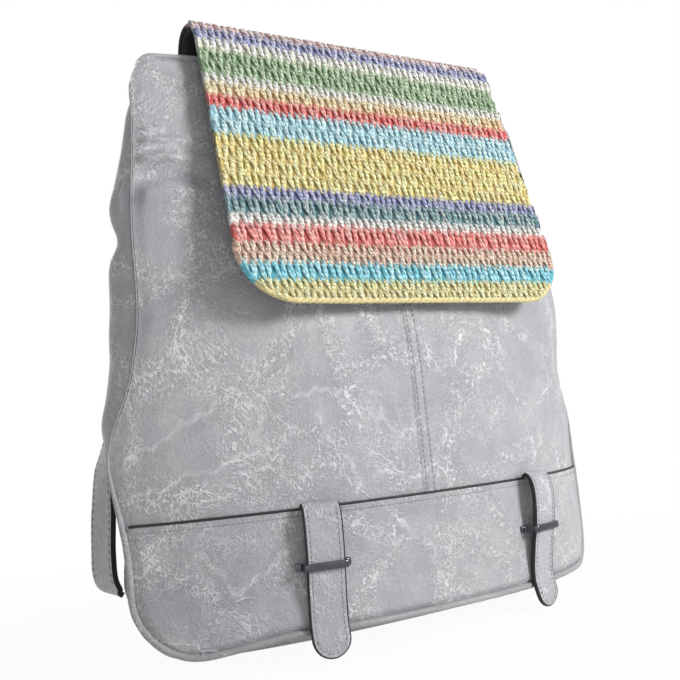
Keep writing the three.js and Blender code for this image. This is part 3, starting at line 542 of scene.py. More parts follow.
def creases(x, z):
    """1 on a long crease, falling off with the distance to its nearest straight run; small waves bend it."""
    wave_x = 1.5 * np.sin(z / 2.9) + 0.9 * np.sin(z / 1.3 + x / 2)
    wave_z = 1.5 * np.sin(x / 3.3) + 0.9 * np.sin(x / 1.2)
    x, z = x + wave_x, z + wave_z
    near = np.full_like(x, 100.0)
    for line in CREASES:
        for (x0, z0), (x1, z1) in zip(line[:-1], line[1:]):
            dx, dz = x1 - x0, z1 - z0
            t = np.clip(((x - x0) * dx + (z - z0) * dz) / (dx * dx + dz * dz), 0, 1)
            near = np.minimum(near, np.hypot(x - x0 - t * dx, z - z0 - t * dz))
    return bump_line(near, CREASE_WIDTH)


def shoulder_folds(x, z):
    """Three creases, a dent and a swell, in mm, at the left shoulder where the front starts to lean back."""
    wave = z + 1.2 * np.sin(x / 9) - 0.05 * (x + 130)
    folds = 2.6 * bump_line(wave - 283, 1.7) * smooth(-x, 124, 134) + 3.4 * bump_line(wave - 276.5, 1.8)
    folds = folds + 4.6 * bump_line(wave - 267, 2.6) - 3.3 * bump_line(wave - 258, 4.5)
    return (folds + 3.0 * bump_line(wave - 247, 6)) * bump_line(x + 138, 21)


def cracked(x, z, out):
    """A front panel's settled grid that stands out and is raised along the long creases, and their colour."""
    pale = creases(x, z)
    grid = settle(np.stack([x, front_y(x, z) - out - CREASE_RISE * pale, z], -1))
    return grid, np.repeat(pale.reshape(-1, 1), 3, 1)


def front_panel(u, v, low, lap):
    """A half of the front: columns u are shares of the half width, rows v go from low to the mouth edge.
    The edge sinks into the side seam, a bead runs along the mouth, and lap lifts the folded side."""
    u, v = np.meshgrid(u, v)
    z = mix(low, front_top(u), v)
    half = outline_half(front_half, FRONT_SEAM, z, SEAM_INSET)
    half = half - MOUTH_DRAW * smooth(z, HEIGHT - 18, HEIGHT - 5)
    x = u * half
    edge = (1 - np.abs(u)) * half
    fall = front_top(u) - z
    out = front_relief(x, z) * smooth(edge, 0, 18) * smooth(np.abs(x), 4, 30) * smooth(fall, 0, 12)
    out = out + shoulder_folds(x, z) * smooth(edge, 0, 6)
    bead = 0.7 * bump_line(fall - 1.2, 1.0) - 1.3 * bump_line(fall - 3.2, 0.7)
    out = out - 1.3 * (1 - smooth(edge, 0, 6)) + bead * smooth(edge, 2, 14)
    if lap:
        out = out + smooth(x, -LAP_WIDTH, -LAP_WIDTH + 2)
        out = out - 0.35 * bump_line(x - LAP_SEWING[0], 0.7) - 0.35 * bump_line(x - LAP_SEWING[1], 0.7)
    return cracked(x, z, out)


def spaced(*stretches):
    """Evenly spaced numbers in several stretches, each given as its start, end and count."""
    return np.concatenate([np.linspace(*stretch) for stretch in stretches])


rise = spaced((0, 0.64, 120), (0.646, 0.972, 70), (0.976, 1, 14))
left_columns = spaced((-1, -0.95, 14), (-0.94, -0.09, 115), (-0.085, LAP_EDGE / 150, 26))
right_columns = spaced(((LAP_EDGE - 4) / 150, 0.94, 90), (0.95, 1, 8))
for hand, columns, thick in (("left", left_columns, LEATHER), ("right", right_columns, THIN_LEATHER)):
    grid, pale = front_panel(columns, rise, BAND_TOP - 5, hand == "left")
    panel = put_sheet("front_%s_leather" % hand, grid, thick, [BODY_LEATHER], colours=pale, called="crease")
    fit(panel, "crackled_leather", "front_%s_half" % hand)

lap_lines = []
for lap_x in LAP_SEWING:
    lap_z = np.linspace(BAND_TOP + 1, HEIGHT - 5, 160)
    lap_path = np.stack([np.full(160, lap_x), front_y(lap_x, lap_z) - 0.75, lap_z], 1)
    lap_lines.append((lap_path, np.tile([0.0, -1.0, 0.15], (160, 1))))
fit(stitches("lap_topstitching", lap_lines, pitch=2.9, length=2.4, radius=0.32), "crackled_leather")


# Band. One wide strip across the bottom of the front, cut from the same leather and laid over the
# two halves. Its top edge is painted black and sewn down just below it.

BAND_RAISE, BAND_THICK, BAND_SEWING = 1.2, 1.15, 3.4
EDGE_PAINT = plain("black_edge_paint", (18, 18, 20), 0.6, speckle=300.0)


def put_rod(name, path, face, profile, material, closed=False, **colouring):
    """A piece made by carrying a profile along a path in mm: its first axis stands across the path and its
    second looks the way of face. Flat ends close it, unless the path is closed."""
    ahead = np.roll(path, -1, 0) - np.roll(path, 1, 0) if closed else np.gradient(path, axis=0)
    ahead = unit(ahead)
    side = unit(np.cross(ahead, face))
    up = np.cross(side, ahead)
    turned = np.asarray(profile, float)[..., ::-1, :]
    points = path[:, None] + side[:, None] * turned[..., 0:1] + up[:, None] * turned[..., 1:2]
    rows, columns = points.shape[:2]
    count = rows * columns
    faces = (grid_faces(rows + closed, columns, joined=True) % count).tolist()
    if not closed:
        faces += [list(range(columns - 1, -1, -1)), list(range(count - columns, count))]
    return put_mesh(name, row(points), faces, [material], **colouring)


def ring_profile(radius, sides):
    """A circle of points."""
    angle = np.arange(sides) * 2 * np.pi / sides
    return radius * np.stack([np.cos(angle), np.sin(angle)], -1)


def band_panel(u, v):
    """The band: u across, v from the bottom seam to the painted edge; its border sinks into the seam."""
    u, v = np.meshgrid(u, v)
    z = mix(FRONT_SEAM + SEAM_INSET, BAND_TOP, v ** 1.5)
    half = outline_half(front_half, FRONT_SEAM, z, SEAM_INSET)
    x = u * half
    edge = np.minimum((1 - np.abs(u)) * half, z - FRONT_SEAM - SEAM_INSET)
    low_tops = smooth(BAND_TOP - z, 0, 12)
    out = front_relief(x, z) * smooth(edge, 0, 30) * low_tops + BAND_RAISE
    out = out + 0.5 * buckles(x, z, 21, 26) * smooth(edge, 2, 14) * low_tops
    out = out - 2.3 * (1 - smooth(edge, 0, 5)) - 0.3 * bump_line(BAND_TOP - z - BAND_SEWING, 0.7)
    return cracked(x, z, out)


def band_line(half, count, z, depth, lift=0.0):
    """A settled line across the band, at a height and a depth below its face, and the way out along it."""
    x = np.linspace(-half, half, count)
    line = np.stack([x, front_y(x, z) - BAND_RAISE + depth, np.full(count, z + lift)], 1)
    out = np.stack([np.gradient(line[:, 1], x), np.full(count, -1.0), np.zeros(count)], 1)
    return settle(line), out


across = spaced((-1, -0.95, 8), (-0.94, 0.94, 240), (0.95, 1, 8))
grid, pale = band_panel(across, np.linspace(0, 1, 56))
band = put_sheet("band_leather", grid, BAND_THICK, [BODY_LEATHER, EDGE_PAINT], bevel=0.25, colours=pale,
                 called="crease")
fit(band, "crackled_leather", "front_band")
painted = band_line(158, 260, BAND_TOP, 0.35, 0.1)
fit(put_rod("band_painted_edge", *painted, ring_profile(0.75, 10), EDGE_PAINT), "crackled_leather")
sewn = band_line(153, 240, BAND_TOP - BAND_SEWING, 0.25)
fit(stitches("band_topstitching", [sewn], pitch=2.5, length=2.2, radius=0.27), "crackled_leather")


# Sides, base and back. Two soft gussets, a base that sags to the floor and one flat back panel,
# all of the same leather and joined to each other and to the front in piped seams.

BACK_WIDTH, BACK_WIDTH_TOP = 276, 260
GUSSET_BULGE, GUSSET_FOLD, BASE_SAG, SIDE_END = 15, 3, 20, 1.5
MOUTH_TUCK, EDGE_TUCK = 6.0, 2.6  # how far the front edges are drawn in at the mouth and set back below it
MIRROR = np.array([-1, 1, 1])


def back_half(z):
    """Half width of the back panel, a little narrower at the top."""
    return mix(BACK_WIDTH, BACK_WIDTH_TOP, z / HEIGHT) / 2


def seam(front, a):
    """A seam's points and outward directions: a runs 0 to 1 down the left side, to 2 round the corner
    and to 3 along the bottom to the middle."""
    half, low = (front_half, FRONT_SEAM) if front else (back_half, BACK_SEAM)
    top = front_top(np.float64(1)) if front else HEIGHT
    side_z = mix(top, low + CORNER, np.clip(a, 0, 1))
    centre = half(np.float64(low + CORNER)) - CORNER
    turn = np.clip(a - 1, 0, 1) * np.pi / 2
    x = np.where(a <= 2, -centre - CORNER * np.cos(turn), -centre * (3 - a))
    x = np.where(a <= 1, -half(side_z), x)
    z = np.where(a <= 1, side_z, np.where(a <= 2, low + CORNER - CORNER * np.sin(turn), low))
    y = front_y(x, z) if front else back_y(z)
    out = np.stack([-np.cos(turn), np.zeros_like(turn), -np.sin(turn)], -1)
    return np.stack([x, y, z], -1), out


def gusset(a, v):
    """The strip between the two seams: it bulges at the sides, folds in at the mouth and sags below.
    a and v are arrays of places along and across it."""
    a, v = np.broadcast_arrays(np.asarray(a, float)[:, None], np.asarray(v, float)[None])
    front, out = seam(True, a)
    back, _ = seam(False, a)
    share = SEAM_INSET / np.linalg.norm(back - front, axis=-1)
    v = mix(share, 1 - share, v)
    arch = np.sin(np.pi * v)
    mouth = 1 - smooth(a, 0, 0.12)
    bulge = GUSSET_BULGE * np.sin(np.pi / 2 * np.minimum(2 * a, 1)) * (1 - smooth(a, 0.66, 0.84))
    sag = BASE_SAG * smooth(a, 1.2, 2.2) * smooth(v, 0.03, 0.66) * (1 - smooth(v, 0.74, 0.96))
    swell = (bulge - GUSSET_FOLD * mouth) * arch + sag
    points = mix(front, back, v[..., None])
    points[..., 0] += MOUTH_TUCK * mouth * (1 - smooth(v, 0, 0.6))
    below = smooth(a, 0.03, 0.2) * (1 - smooth(a, 0.8, 1.0))
    points[..., 1] += EDGE_TUCK * below * (1 - smooth(v, 0, 0.2))
    fold = 1.5 * bump_line(a - 0.285, 0.03) - 4.5 * bump_line(a - 0.355, 0.03)
    fold = fold - 1.6 * bump_line(v - 0.5, 0.16) * (1 - smooth(a, 0.05, 0.3))
    soft = buckles(points[..., 1] * 1.4, points[..., 2] + points[..., 0], 31, 46)
    low = 1 - smooth(a, 1.0, 1.6)
    swell = swell + low * (0.9 * soft + fold) * smooth(arch, 0.05, 0.7)
    points = points + out * swell[..., None]
    points[..., 2] = np.where(a > 1, np.maximum(points[..., 2], 0), points[..., 2])
    return points


side_path = spaced((0, 1, 100), (1.01, SIDE_END, 30))
side_grid = gusset(side_path, np.linspace(0, 1, 40))
for hand, grid in (("left", side_grid), ("right", (side_grid * MIRROR)[:, ::-1])):
    side = put_sheet(hand + "_side_leather", settle(grid), THIN_LEATHER, [BODY_LEATHER])
    fit(side, "crackled_leather", hand + "_gusset")

base_path = spaced((SIDE_END, 2.2, 34), (2.22, 3, 44))
base_grid = gusset(base_path, np.linspace(0, 1, 44))
base_grid = settle(np.concatenate([base_grid, (base_grid[:-1] * MIRROR)[::-1]]))
base = put_sheet("base_leather", base_grid, THIN_LEATHER, [BODY_LEATHER])
fit(base, "crackled_leather", "base_panel")

u, v = np.meshgrid(np.linspace(1, -1, 90), np.linspace(0, 1, 110))
back_z = mix(BACK_SEAM + SEAM_INSET, HEIGHT, v ** 1.25)
back_x = u * outline_half(back_half, BACK_SEAM, back_z, SEAM_INSET)
edge = np.minimum((1 - np.abs(u)) * back_half(back_z), back_z - BACK_SEAM - SEAM_INSET)
back_out = 0.8 * buckles(back_x, back_z, 41, 90) * smooth(edge, 4, 40) * (1 - smooth(back_z, 190, 250))
back_out = back_out - 1.3 * (1 - smooth(edge, 0, 6)) - 0.3 * (1 - smooth(HEIGHT - back_z, 0, 3))
back_grid = np.stack([back_x, back_y(back_z) + back_out, back_z], -1)
back = put_sheet("back_leather", settle(back_grid), LEATHER, [BODY_LEATHER])
fit(back, "crackled_leather", "back_panel")


# Piping. A strip of the same leather folded round a cord and caught in the front and back seams.
# It runs from the mouth down one side, along the bottom and up the other side.

PIPING_LEATHER = leather("piping_leather", (146, 146, 148), (168, 168, 171), (212, 212, 214), 0.6, 0.6)
for edge_name, is_front in (("front", True), ("back", False)):
    places = spaced((0, 1, 120), (1.02, 2, 40), (2.02, 3, 60))
    line, out = (np.concatenate([half, (half[:-1] * MIRROR)[::-1]]) for half in seam(is_front, places))
    line[:, 1] += 1.8 * is_front * smooth(line[:, 2], 90, 130)
    drawn = MOUTH_TUCK * is_front * smooth(line[:, 2], HEIGHT - 22, HEIGHT - 7)
    line[:, 0] -= np.sign(line[:, 0]) * drawn
    line = settle(line)
    run = length_along(line)
    crimp = 0.26 + 0.62 * smooth(130 - line[:, 2], 0, 70)
    crimp = crimp + 0.035 * np.sin(run / 1.9 + 2 * np.sin(run / 23)) * (0.5 + 0.5 * np.sin(run / 37))
    bead = ring_profile(PIPING / 2, 12)[None] * crimp[:, None, None]
    piping = put_rod(edge_name + "_piping_leather", line, out, bead, PIPING_LEATHER)
    fit(piping, "crackled_leather", edge_name + "_piping")


# Lining. A bag of thin black twill inside the leather, sewn in at the mouth and hanging loose
# inside, so it has its own small folds.

LINING_DEPTH, CLOTH_THICK = 3.6, 0.7  # the depth is from the leather's face


def black_cloth():
    """Black twill: diagonal ribs half a millimetre wide, counted on the cloth's own length and width."""
    made, tree = new_material("black_twill")
    spot = add(tree, "ShaderNodeTexCoord").outputs
    split = add(tree, "ShaderNodeSeparateXYZ", {0: spot["UV"]}).outputs
    slant = math(tree, "MULTIPLY", math(tree, "ADD", split[0], split[1]), 1300.0)
    fuzz = noise(tree, spot["Object"], 420.0, 3.0)
    height = math(tree, "ADD", math(tree, "PINGPONG", slant, 1.0), fuzz)
    shaded(tree, {"Base Color": mixed(tree, fuzz, rgba((22, 23, 27)), rgba((46, 48, 54))), "Roughness": 0.8,
                  "Normal": raised(tree, height, 0.35, 0.0003), "Sheen Weight": 0.15})
    return made


BLACK_CLOTH = black_cloth()


def lining_ring(z, shrink, floor):
    """One level of the lining: across the front, round the right side, along the back and round the left
    side, kept inside the leather; shrink draws a level in for the bottom. z, shrink and floor are columns."""
    high = np.maximum(z, FRONT_SEAM + LINING_DEPTH + 0.5)
    fx = outline_half(front_half, FRONT_SEAM, high, LINING_DEPTH + 3.5)
    bx = outline_half(back_half, BACK_SEAM, high, LINING_DEPTH + 1.5)
    back = back_y(np.maximum(z, FRONT_SEAM + LINING_DEPTH)) - LINING_DEPTH - 1
    t = np.linspace(0, 1, 160, endpoint=False)[None]
    turns = (0, 0.45, 0.55, 0.9, 1)
    u = np.interp(t, turns, (-1, 1, 1, -1, -1))
    w = np.interp(t, turns, (0, 0, 1, 1, 0))
    inward = GUSSET_FOLD * 1.6 * smooth(z, HEIGHT * 0.66, HEIGHT) * np.sin(np.pi * w) * (np.abs(u) == 1)
    x = u * mix(fx, bx, w) - np.sign(u) * inward
    y = mix(np.minimum(front_y(u * fx, high) + LINING_DEPTH * 1.1, back - 2), back, w)
    hang = 1.2 * (1 + np.sin(26 * np.pi * t + 3 * np.sin(z / 40))) * smooth(HEIGHT - 20 - z, 0, 60)
    middle = (np.minimum(front_y(0 * z, high) + LINING_DEPTH * 1.1, back - 2) + back) / 2
    y = y + np.sign(middle - y) * np.minimum(hang, 0.5 * np.abs(middle - y))
    return np.stack([x * shrink, mix(middle, y, shrink), np.broadcast_to(floor, x.shape)], -1)


wall_z = spaced((HEIGHT - TOP_DROP - 9, 45, 90), (42, 25, 8))[:, None]
draw_in = np.linspace(1, 0.12, 16)[1:, None]
dip = 0.45 * BASE_SAG * np.sin(np.pi * (1 - draw_in) / 2) ** 2
under_z = np.full_like(draw_in, FRONT_SEAM + LINING_DEPTH)
lining_grid = np.concatenate([
    lining_ring(wall_z, 1.0, wall_z),
    lining_ring(under_z, draw_in, np.maximum(FRONT_SEAM - dip, 0) + LINING_DEPTH + 0.4)])
lining_grid = settle(lining_grid[:, ::-1])
lining = put_sheet("lining_cloth", lining_grid, CLOTH_THICK, [BLACK_CLOTH], bevel=0, joined=True)
fit(lining, "black_cloth", "lining")


# Trim straps. Two short leather straps with black painted edges, caught under the band's top edge.
# Each bows out over the band, passes under a metal keeper and hangs just below the front's edge.

TAB_X, TAB_WIDTH, TAB_THICK, TAB_FLAT, KEEPER_Z = 74.4, 19.5, 2.4, 1.6, 48
TAB_ARCH = {"left": 5.2, "right": 6.8}
FINE_SEWING = (2.5, 2.2, 0.25)
HANDS = (("left", -1), ("right", 1))
UP = np.array([0.0, 0.0, 1.0])
STRAP_LEATHER = leather("strap_leather", (160, 159, 165), (184, 184, 188), (234, 234, 238), 0.85, 0.66, 0.4)


def through(points, count):
    """A smooth curve through points, which may hold further columns: cubic Hermite pieces over the root
    of the distance between points, with slopes taken from the neighbours."""
    points = np.asarray(points, float)
    step = np.sqrt(np.linalg.norm(np.diff(points[:, :3], axis=0), axis=1))
    knot = np.concatenate([[0], np.cumsum(step)])
    slope = np.gradient(points, knot, axis=0)
    at = np.linspace(0, knot[-1], count)
    k = np.clip(np.searchsorted(knot, at, side="right") - 1, 0, len(points) - 2)
    width = (knot[k + 1] - knot[k])[:, None]
    f = ((at - knot[k]) / (knot[k + 1] - knot[k]))[:, None]
    return ((2 * f ** 3 - 3 * f ** 2 + 1) * points[k] + (f ** 3 - 2 * f ** 2 + f) * width * slope[k]
            + (3 * f ** 2 - 2 * f ** 3) * points[k + 1] + (f ** 3 - f ** 2) * width * slope[k + 1])


def across_strap(path, face):
    """The way across a strap at each point of its path."""
    return unit(np.cross(unit(np.gradient(path, axis=0)), face))


def ribbon(path, face, half, columns=9):
    """A flat strap: at each point of the path it spreads half to both sides, square to face."""
    spread = np.broadcast_to(half, len(path))[:, None] * np.linspace(-1, 1, columns)
    return path[:, None] + across_strap(path, face)[:, None] * spread[..., None]


def strap_edges(path, face, inset, half, lift):
    """Lines of sewing along both edges of a strap, on the side that face looks to."""
    side = across_strap(path, face)
    return [(path + side * s * (half - inset) + face * lift, face) for s in (-1, 1)]


def put_strap(name, strip, thickness, bevel, node):
    """A strap of leather with painted edges, that stands for a solid."""
    strap = put_sheet(name, strip, thickness, [STRAP_LEATHER, EDGE_PAINT], offset=0, bevel=bevel)
    fit(strap, "strap_leather", node)


def band_frame(x):
    """The band's face at a trim strap: its middle, the way along it and the way out."""
    slope = (front_y(x + 1.0, KEEPER_Z * 1.0) - front_y(x - 1.0, KEEPER_Z * 1.0)) / 2
    out = unit(np.array([slope, -1.0, 0.0]))
    along = unit(np.array([1.0, slope, 0.0]))
    return np.array([x, front_y(x * 1.0, KEEPER_Z * 1.0) - BAND_RAISE, 0.0]), along, out


for hand, sign in HANDS:
    base, along, out = band_frame(sign * TAB_X)
    bow = TAB_ARCH[hand]
    curve = np.array([[2.1, 2], [2.1, 9], [0.3, 19.2], [0.42 * bow, 38.25], [0.75 * bow, 48],
                      [0.97 * bow, 59.7], [bow, 70.2], [0.8 * bow, BAND_TOP - 1 + 0.05 * bow],
                      [0.4 * bow, 78 + 0.2 * bow], [0.6, 78]])
    curve[:, 0] += TAB_FLAT
    path = through(base + curve[:, :1] * out + curve[:, 1:] * UP, 400)
    path = at_length(path, path, length_along(path)[-1] * np.linspace(0, 1, 120) ** 1.8)
    ahead = unit(np.gradient(path, axis=0))
    face = np.cross(along, ahead)
    tip = TAB_WIDTH / 2
    half = np.sqrt(np.maximum(tip ** 2 - np.maximum(tip - length_along(path), 0) ** 2, 0.5))
    strip = ribbon(path, face, half, 13)
    put_strap(hand + "_trim_strap_leather", strip, TAB_THICK, 0.5, hand + "_trim_strap")
    border = np.concatenate([strip[::-1, 0], strip[:, -1]])
    paint = put_rod(hand + "_trim_strap_painted_edge", border, np.concatenate([face[::-1], face]),
                    ring_profile(1.0, 10) * [0.7, TAB_THICK / 2 + 0.1], EDGE_PAINT)
    fit(paint, "strap_leather")
    turn = np.linspace(-np.pi / 2, np.pi / 2, 40)
    inner = tip - 2.0
    tip_line = path[0] + ahead[0] * tip + face[0] * TAB_THICK / 2
    tip_line = tip_line + np.outer(np.sin(turn) * inner, along) - np.outer(np.cos(turn) * inner, ahead[0])
    sewn = [(line[37:-4], way[37:-4]) for line, way in strap_edges(path, face, 2.0, tip, TAB_THICK / 2)]
    sewn.append((tip_line, np.tile(face[0], (40, 1))))
    fit(stitches(hand + "_trim_strap_sewing", sewn, *FINE_SEWING), "strap_leather")


# Strap keepers. A strip of dark plated metal bent like a hat over each trim strap, with an ear at
# each side pressed onto the band.

KEEPER_BAR, KEEPER_THICK, KEEPER_EAR, KEEPER_LOW = 4.0, 1.4, 3.4, 0.7
DARK_METAL = plain("dark_plated_metal", (84, 84, 88), 0.2, metal=1.0, speckle=60.0, depth=0.05)


def rounded(corners, radius, steps=8):
    """A line of straight runs whose corners are rounded with quadratic curves."""
    corners = np.asarray(corners, float)
    t = np.linspace(0, 1, steps)[:, None]
    runs = [corners[:1]]
    for before, corner, after in zip(corners[:-2], corners[1:-1], corners[2:]):
        a = corner + (before - corner) * min(radius / np.linalg.norm(before - corner), 0.5)
        b = corner + (after - corner) * min(radius / np.linalg.norm(after - corner), 0.5)
        runs.append((1 - t) ** 2 * a + 2 * t * (1 - t) * corner + t ** 2 * b)
    return np.concatenate(runs + [corners[-1:]])


for hand, sign in HANDS:
    base, along, out = band_frame(sign * TAB_X)
    inner = TAB_WIDTH / 2 + GAP + KEEPER_THICK
    outer = inner + KEEPER_EAR
    lift = TAB_FLAT + TAB_THICK / 2 + GAP + KEEPER_THICK / 2 + 0.85 * TAB_ARCH[hand]
    hat = rounded([[-outer, KEEPER_LOW], [-inner, KEEPER_LOW], [-inner, lift], [inner, lift],
                   [inner, KEEPER_LOW], [outer, KEEPER_LOW]], 1.8)
    path = base + np.outer(hat[:, 0], along) + np.outer(hat[:, 1], out) + UP * KEEPER_Z
    face = np.cross(unit(np.gradient(path, axis=0)), UP)
    oval = ring_profile(1.0, 16) * [KEEPER_BAR / 2, KEEPER_THICK / 2]
    keeper = put_rod(hand + "_keeper_metal", path, face, oval, DARK_METAL)
    fit(keeper, "dark_metal", hand + "_strap_keeper")


# Flap. Thick cotton yarn worked in rows of single stitches, striped, over a black cloth lining. Its
# edge is a rolled row of the same yarn. It is sewn in at the top of the back panel.

FLAP_WIDTH, FLAP_FLARE, FLAP_BOTTOM, FLAP_STANDOFF, FLAP_RISE, FLAP_CORNER = 215, 5, 182, 8.64, 20, 33
HINGE_DROP, SNAP_Z, RIDGE, STITCH = 12, 212, 1.2, 8.6
FALL, FALL_HEIGHT, FALL_DEPTH = 126.24, 118, 34  # the straight fall's end and a place on it, above the snap
RIM_PITCH, RIM_INSET, PLY_RINGS = 4.3, 1.6, 5
# Stripes from the hem up and over to the root: colour, rows and height in mm.
STRIPES = [
    ((240, 224, 164), 2, 12.4), ((118, 202, 220), 1, 9.3), ((228, 192, 172), 2, 12.4),
    ((226, 118, 114), 1, 10.0), ((244, 240, 228), 1, 6.6), ((98, 142, 150), 1, 9.0),
    ((138, 146, 190), 1, 7.2), ((236, 212, 138), 4, 32.0), ((168, 212, 226), 2, 16.9),
    ((226, 100, 98), 1, 7.8), ((232, 198, 154), 1, 7.8), ((244, 240, 222), 1, 6.4),
    ((140, 172, 132), 2, 16.1), ((244, 240, 222), 1, 7.6), ((142, 148, 192), 1, 7.5),
    ((228, 196, 196), 1, 9.0), ((240, 228, 212), 1, 7.6), ((222, 122, 116), 1, 7.8),
    ((230, 200, 160), 2, 15.0), ((110, 150, 156), 1, 8.0), ((236, 212, 140), 3, 24.0)]


def flap_profile(count):
    """The flap's outer face from the hem to the root, as depth and height: a straight fall in front of the
    bag, a rounded crest and a short straight run down to the root at the back."""
    crest = HEIGHT + FLAP_RISE + RIDGE
    snap_face = front_y(0.0, SNAP_Z * 1.0) - FLAP_STANDOFF
    slope = (FALL_DEPTH - snap_face) / FALL_HEIGHT
    fall = np.array([snap_face + slope * FALL, SNAP_Z + FALL])
    hem = np.array([snap_face + slope * (FLAP_BOTTOM - SNAP_Z), FLAP_BOTTOM])
    root_low, root_high = (np.array([back_y(z) + 3.6, z]) for z in (HEIGHT - HINGE_DROP, HEIGHT + 6.0))
    top = np.array([(root_high[0] + fall[0]) / 2, crest])
    t = np.linspace(0, 1, 60)[:, None]
    ahead = np.array([fall[0] + slope * (crest - fall[1]), crest])
    over = (1 - t) ** 2 * fall + 2 * t * (1 - t) * ahead + t ** 2 * top
    down = (1 - t) ** 2 * top + 2 * t * (1 - t) * [root_high[0] - 2, crest] + t ** 2 * root_high
    line = np.concatenate([[hem], over, down[1:], [root_low]])
    return at_length(line, line, np.linspace(0, length_along(line)[-1], count))


FLAP_LINE = flap_profile(600)
FLAP_RUN = length_along(FLAP_LINE)
FLAP_LENGTH = FLAP_RUN[-1]
CREST = FLAP_RUN[np.argmax(FLAP_LINE[:, 1])]
FLAP_OUT = unit(np.gradient(FLAP_LINE, axis=0))[:, ::-1] * [-1, 1]


def on_flap(x, s, d):
    """A place on the flap in the bag's frame: x across, s along from the hem, d out from its face."""
    y, z = (np.interp(s, FLAP_RUN, FLAP_LINE[:, k]) for k in (0, 1))
    ny, nz = (np.interp(s, FLAP_RUN, FLAP_OUT[:, k]) for k in (0, 1))
    out = d + 0.7 * buckles(x, s, 51, 80) * smooth(FLAP_LENGTH - s, 60, 120)
    return np.stack([x + 0 * y, y + ny * out, z + nz * out], -1)


def flap_half(s, inset=0.0):
    """Half width of the flap: it widens to the hem and is rounded at its two lower corners."""
    rise = np.maximum(FLAP_CORNER - s, 0)
    half = FLAP_WIDTH / 2 + FLAP_FLARE * smooth(FLAP_LENGTH - s, 0.1 * FLAP_LENGTH, FLAP_LENGTH)
    return half - FLAP_CORNER + np.sqrt(np.maximum((FLAP_CORNER - inset) ** 2 - rise ** 2, 0))


def stripe_at(s):
    """The stripe's colour at a distance from the hem, in linear shares."""
    ends = np.cumsum([high for _, _, high in STRIPES])
    return linear([c for c, _, _ in STRIPES])[np.clip(np.searchsorted(ends, s), 0, len(STRIPES) - 1)]


def yarn():
    """Cotton yarn: the stripe's colour from the mesh, with two plies that wind round each strand. The colour
    is darker in the grooves between the plies, painted shade, and mottled by fine fuzz.
    """
    made, tree = new_material("striped_yarn")
    spot = add(tree, "ShaderNodeTexCoord").outputs
    dye = add(tree, "ShaderNodeAttribute", attribute_name="yarn_colour").outputs["Color"]
    split = add(tree, "ShaderNodeSeparateXYZ", {0: spot["UV"]}).outputs
    around = math(tree, "MULTIPLY_ADD", split[1], 2.0, split[0])
    fuzz = noise(tree, spot["Object"], 700.0, 3.0)
    height = math(tree, "MULTIPLY_ADD", math(tree, "PINGPONG", around, 0.5), 2.0, fuzz)
    # The colour follows the plies' height: painted shade in the grooves between them, and a mottle from the
    # fuzz.
    mottle = span(tree, height, 0.4, 1.4, 0.82, 1.16)
    shade = add(tree, "ShaderNodeMix", {0: 1.0, 6: dye, 7: mottle}, data_type="RGBA", blend_type="MULTIPLY")
    shaded(tree, {"Base Color": shade.outputs[2], "Normal": raised(tree, height, 0.8, 0.0006),
                  "Roughness": 0.85, "Sheen Weight": 0.2, "Specular IOR Level": 0.2})
    return made


YARN = yarn()
rng = np.random.default_rng(7)


def plies(x, s, high, colour, corners, lift, turn):
    """One ply of a leg of many stitches. The leg is a curve over three corners, in shares of the stitch's
    width and height, that dives at both ends; the ply winds once round it as a tube of five rings of four
    points."""
    t = np.linspace(0, 1, PLY_RINGS)
    bend = np.stack([(1 - t) ** 2, 2 * t * (1 - t), t ** 2], 1) @ np.asarray(corners)
    swell = np.sin(np.pi * t ** 0.75)
    scale = (high[:, None] / 8) ** 0.5
    wobble = rng.normal(0, 0.04, (len(x), 2, 1))
    centre = np.stack([x[:, None] + (bend[:, 0] + wobble[:, 0]) * STITCH,
                       s[:, None] + (bend[:, 1] + wobble[:, 1]) * high[:, None],
                       lift * swell - 0.7 + 0 * x[:, None]], -1)
    ahead = unit(np.gradient(centre, axis=1))
    side = unit(np.cross(ahead, UP))
    up = np.cross(side, ahead)
    spin = turn + 2 * np.pi * t + x[:, None]
    wind = side * np.cos(spin)[..., None] + up * np.sin(spin)[..., None]
    centre = centre + 0.66 * scale[..., None] * wind
    angle = -(np.arange(4) / 4 + 0.25) * 2 * np.pi
    ring = side[:, :, None] * np.cos(angle)[:, None] + up[:, :, None] * np.sin(angle)[:, None]
    tube = centre[:, :, None] + (0.88 * (0.75 + 0.25 * swell) * scale)[:, :, None, None] * ring
    length = np.clip(tube[..., 1], 1.2, FLAP_LENGTH - 0.5)
    limit = flap_half(length) - 1.4 - 2.6 * smooth(length - CREST, -8, 4)
    points = on_flap(np.clip(tube[..., 0], -limit, limit), length, tube[..., 2])
    # Each strand gets a random brightness. Towards both ends, where the leg dives into the cloth, its colour
    # is darkened as painted shade.
    tone_and_end_shade = rng.uniform(1.18, 1.44, (len(x), 1, 1, 1)) * (0.84 + 0.16 * swell ** 0.6)[:, None, None]
    faded = mix(colour, linear((250, 246, 236)), rng.uniform(0.12, 0.42, (len(x), 1)))
    colours = np.clip(faded[:, None, None] * tone_and_end_shade, 0, 1) + np.zeros_like(points)
    uv = np.stack(np.broadcast_arrays((t * 4.6)[:, None], np.arange(4) / 4), -1)
    return points, colours, uv + np.zeros((len(x), 1, 1, 2))


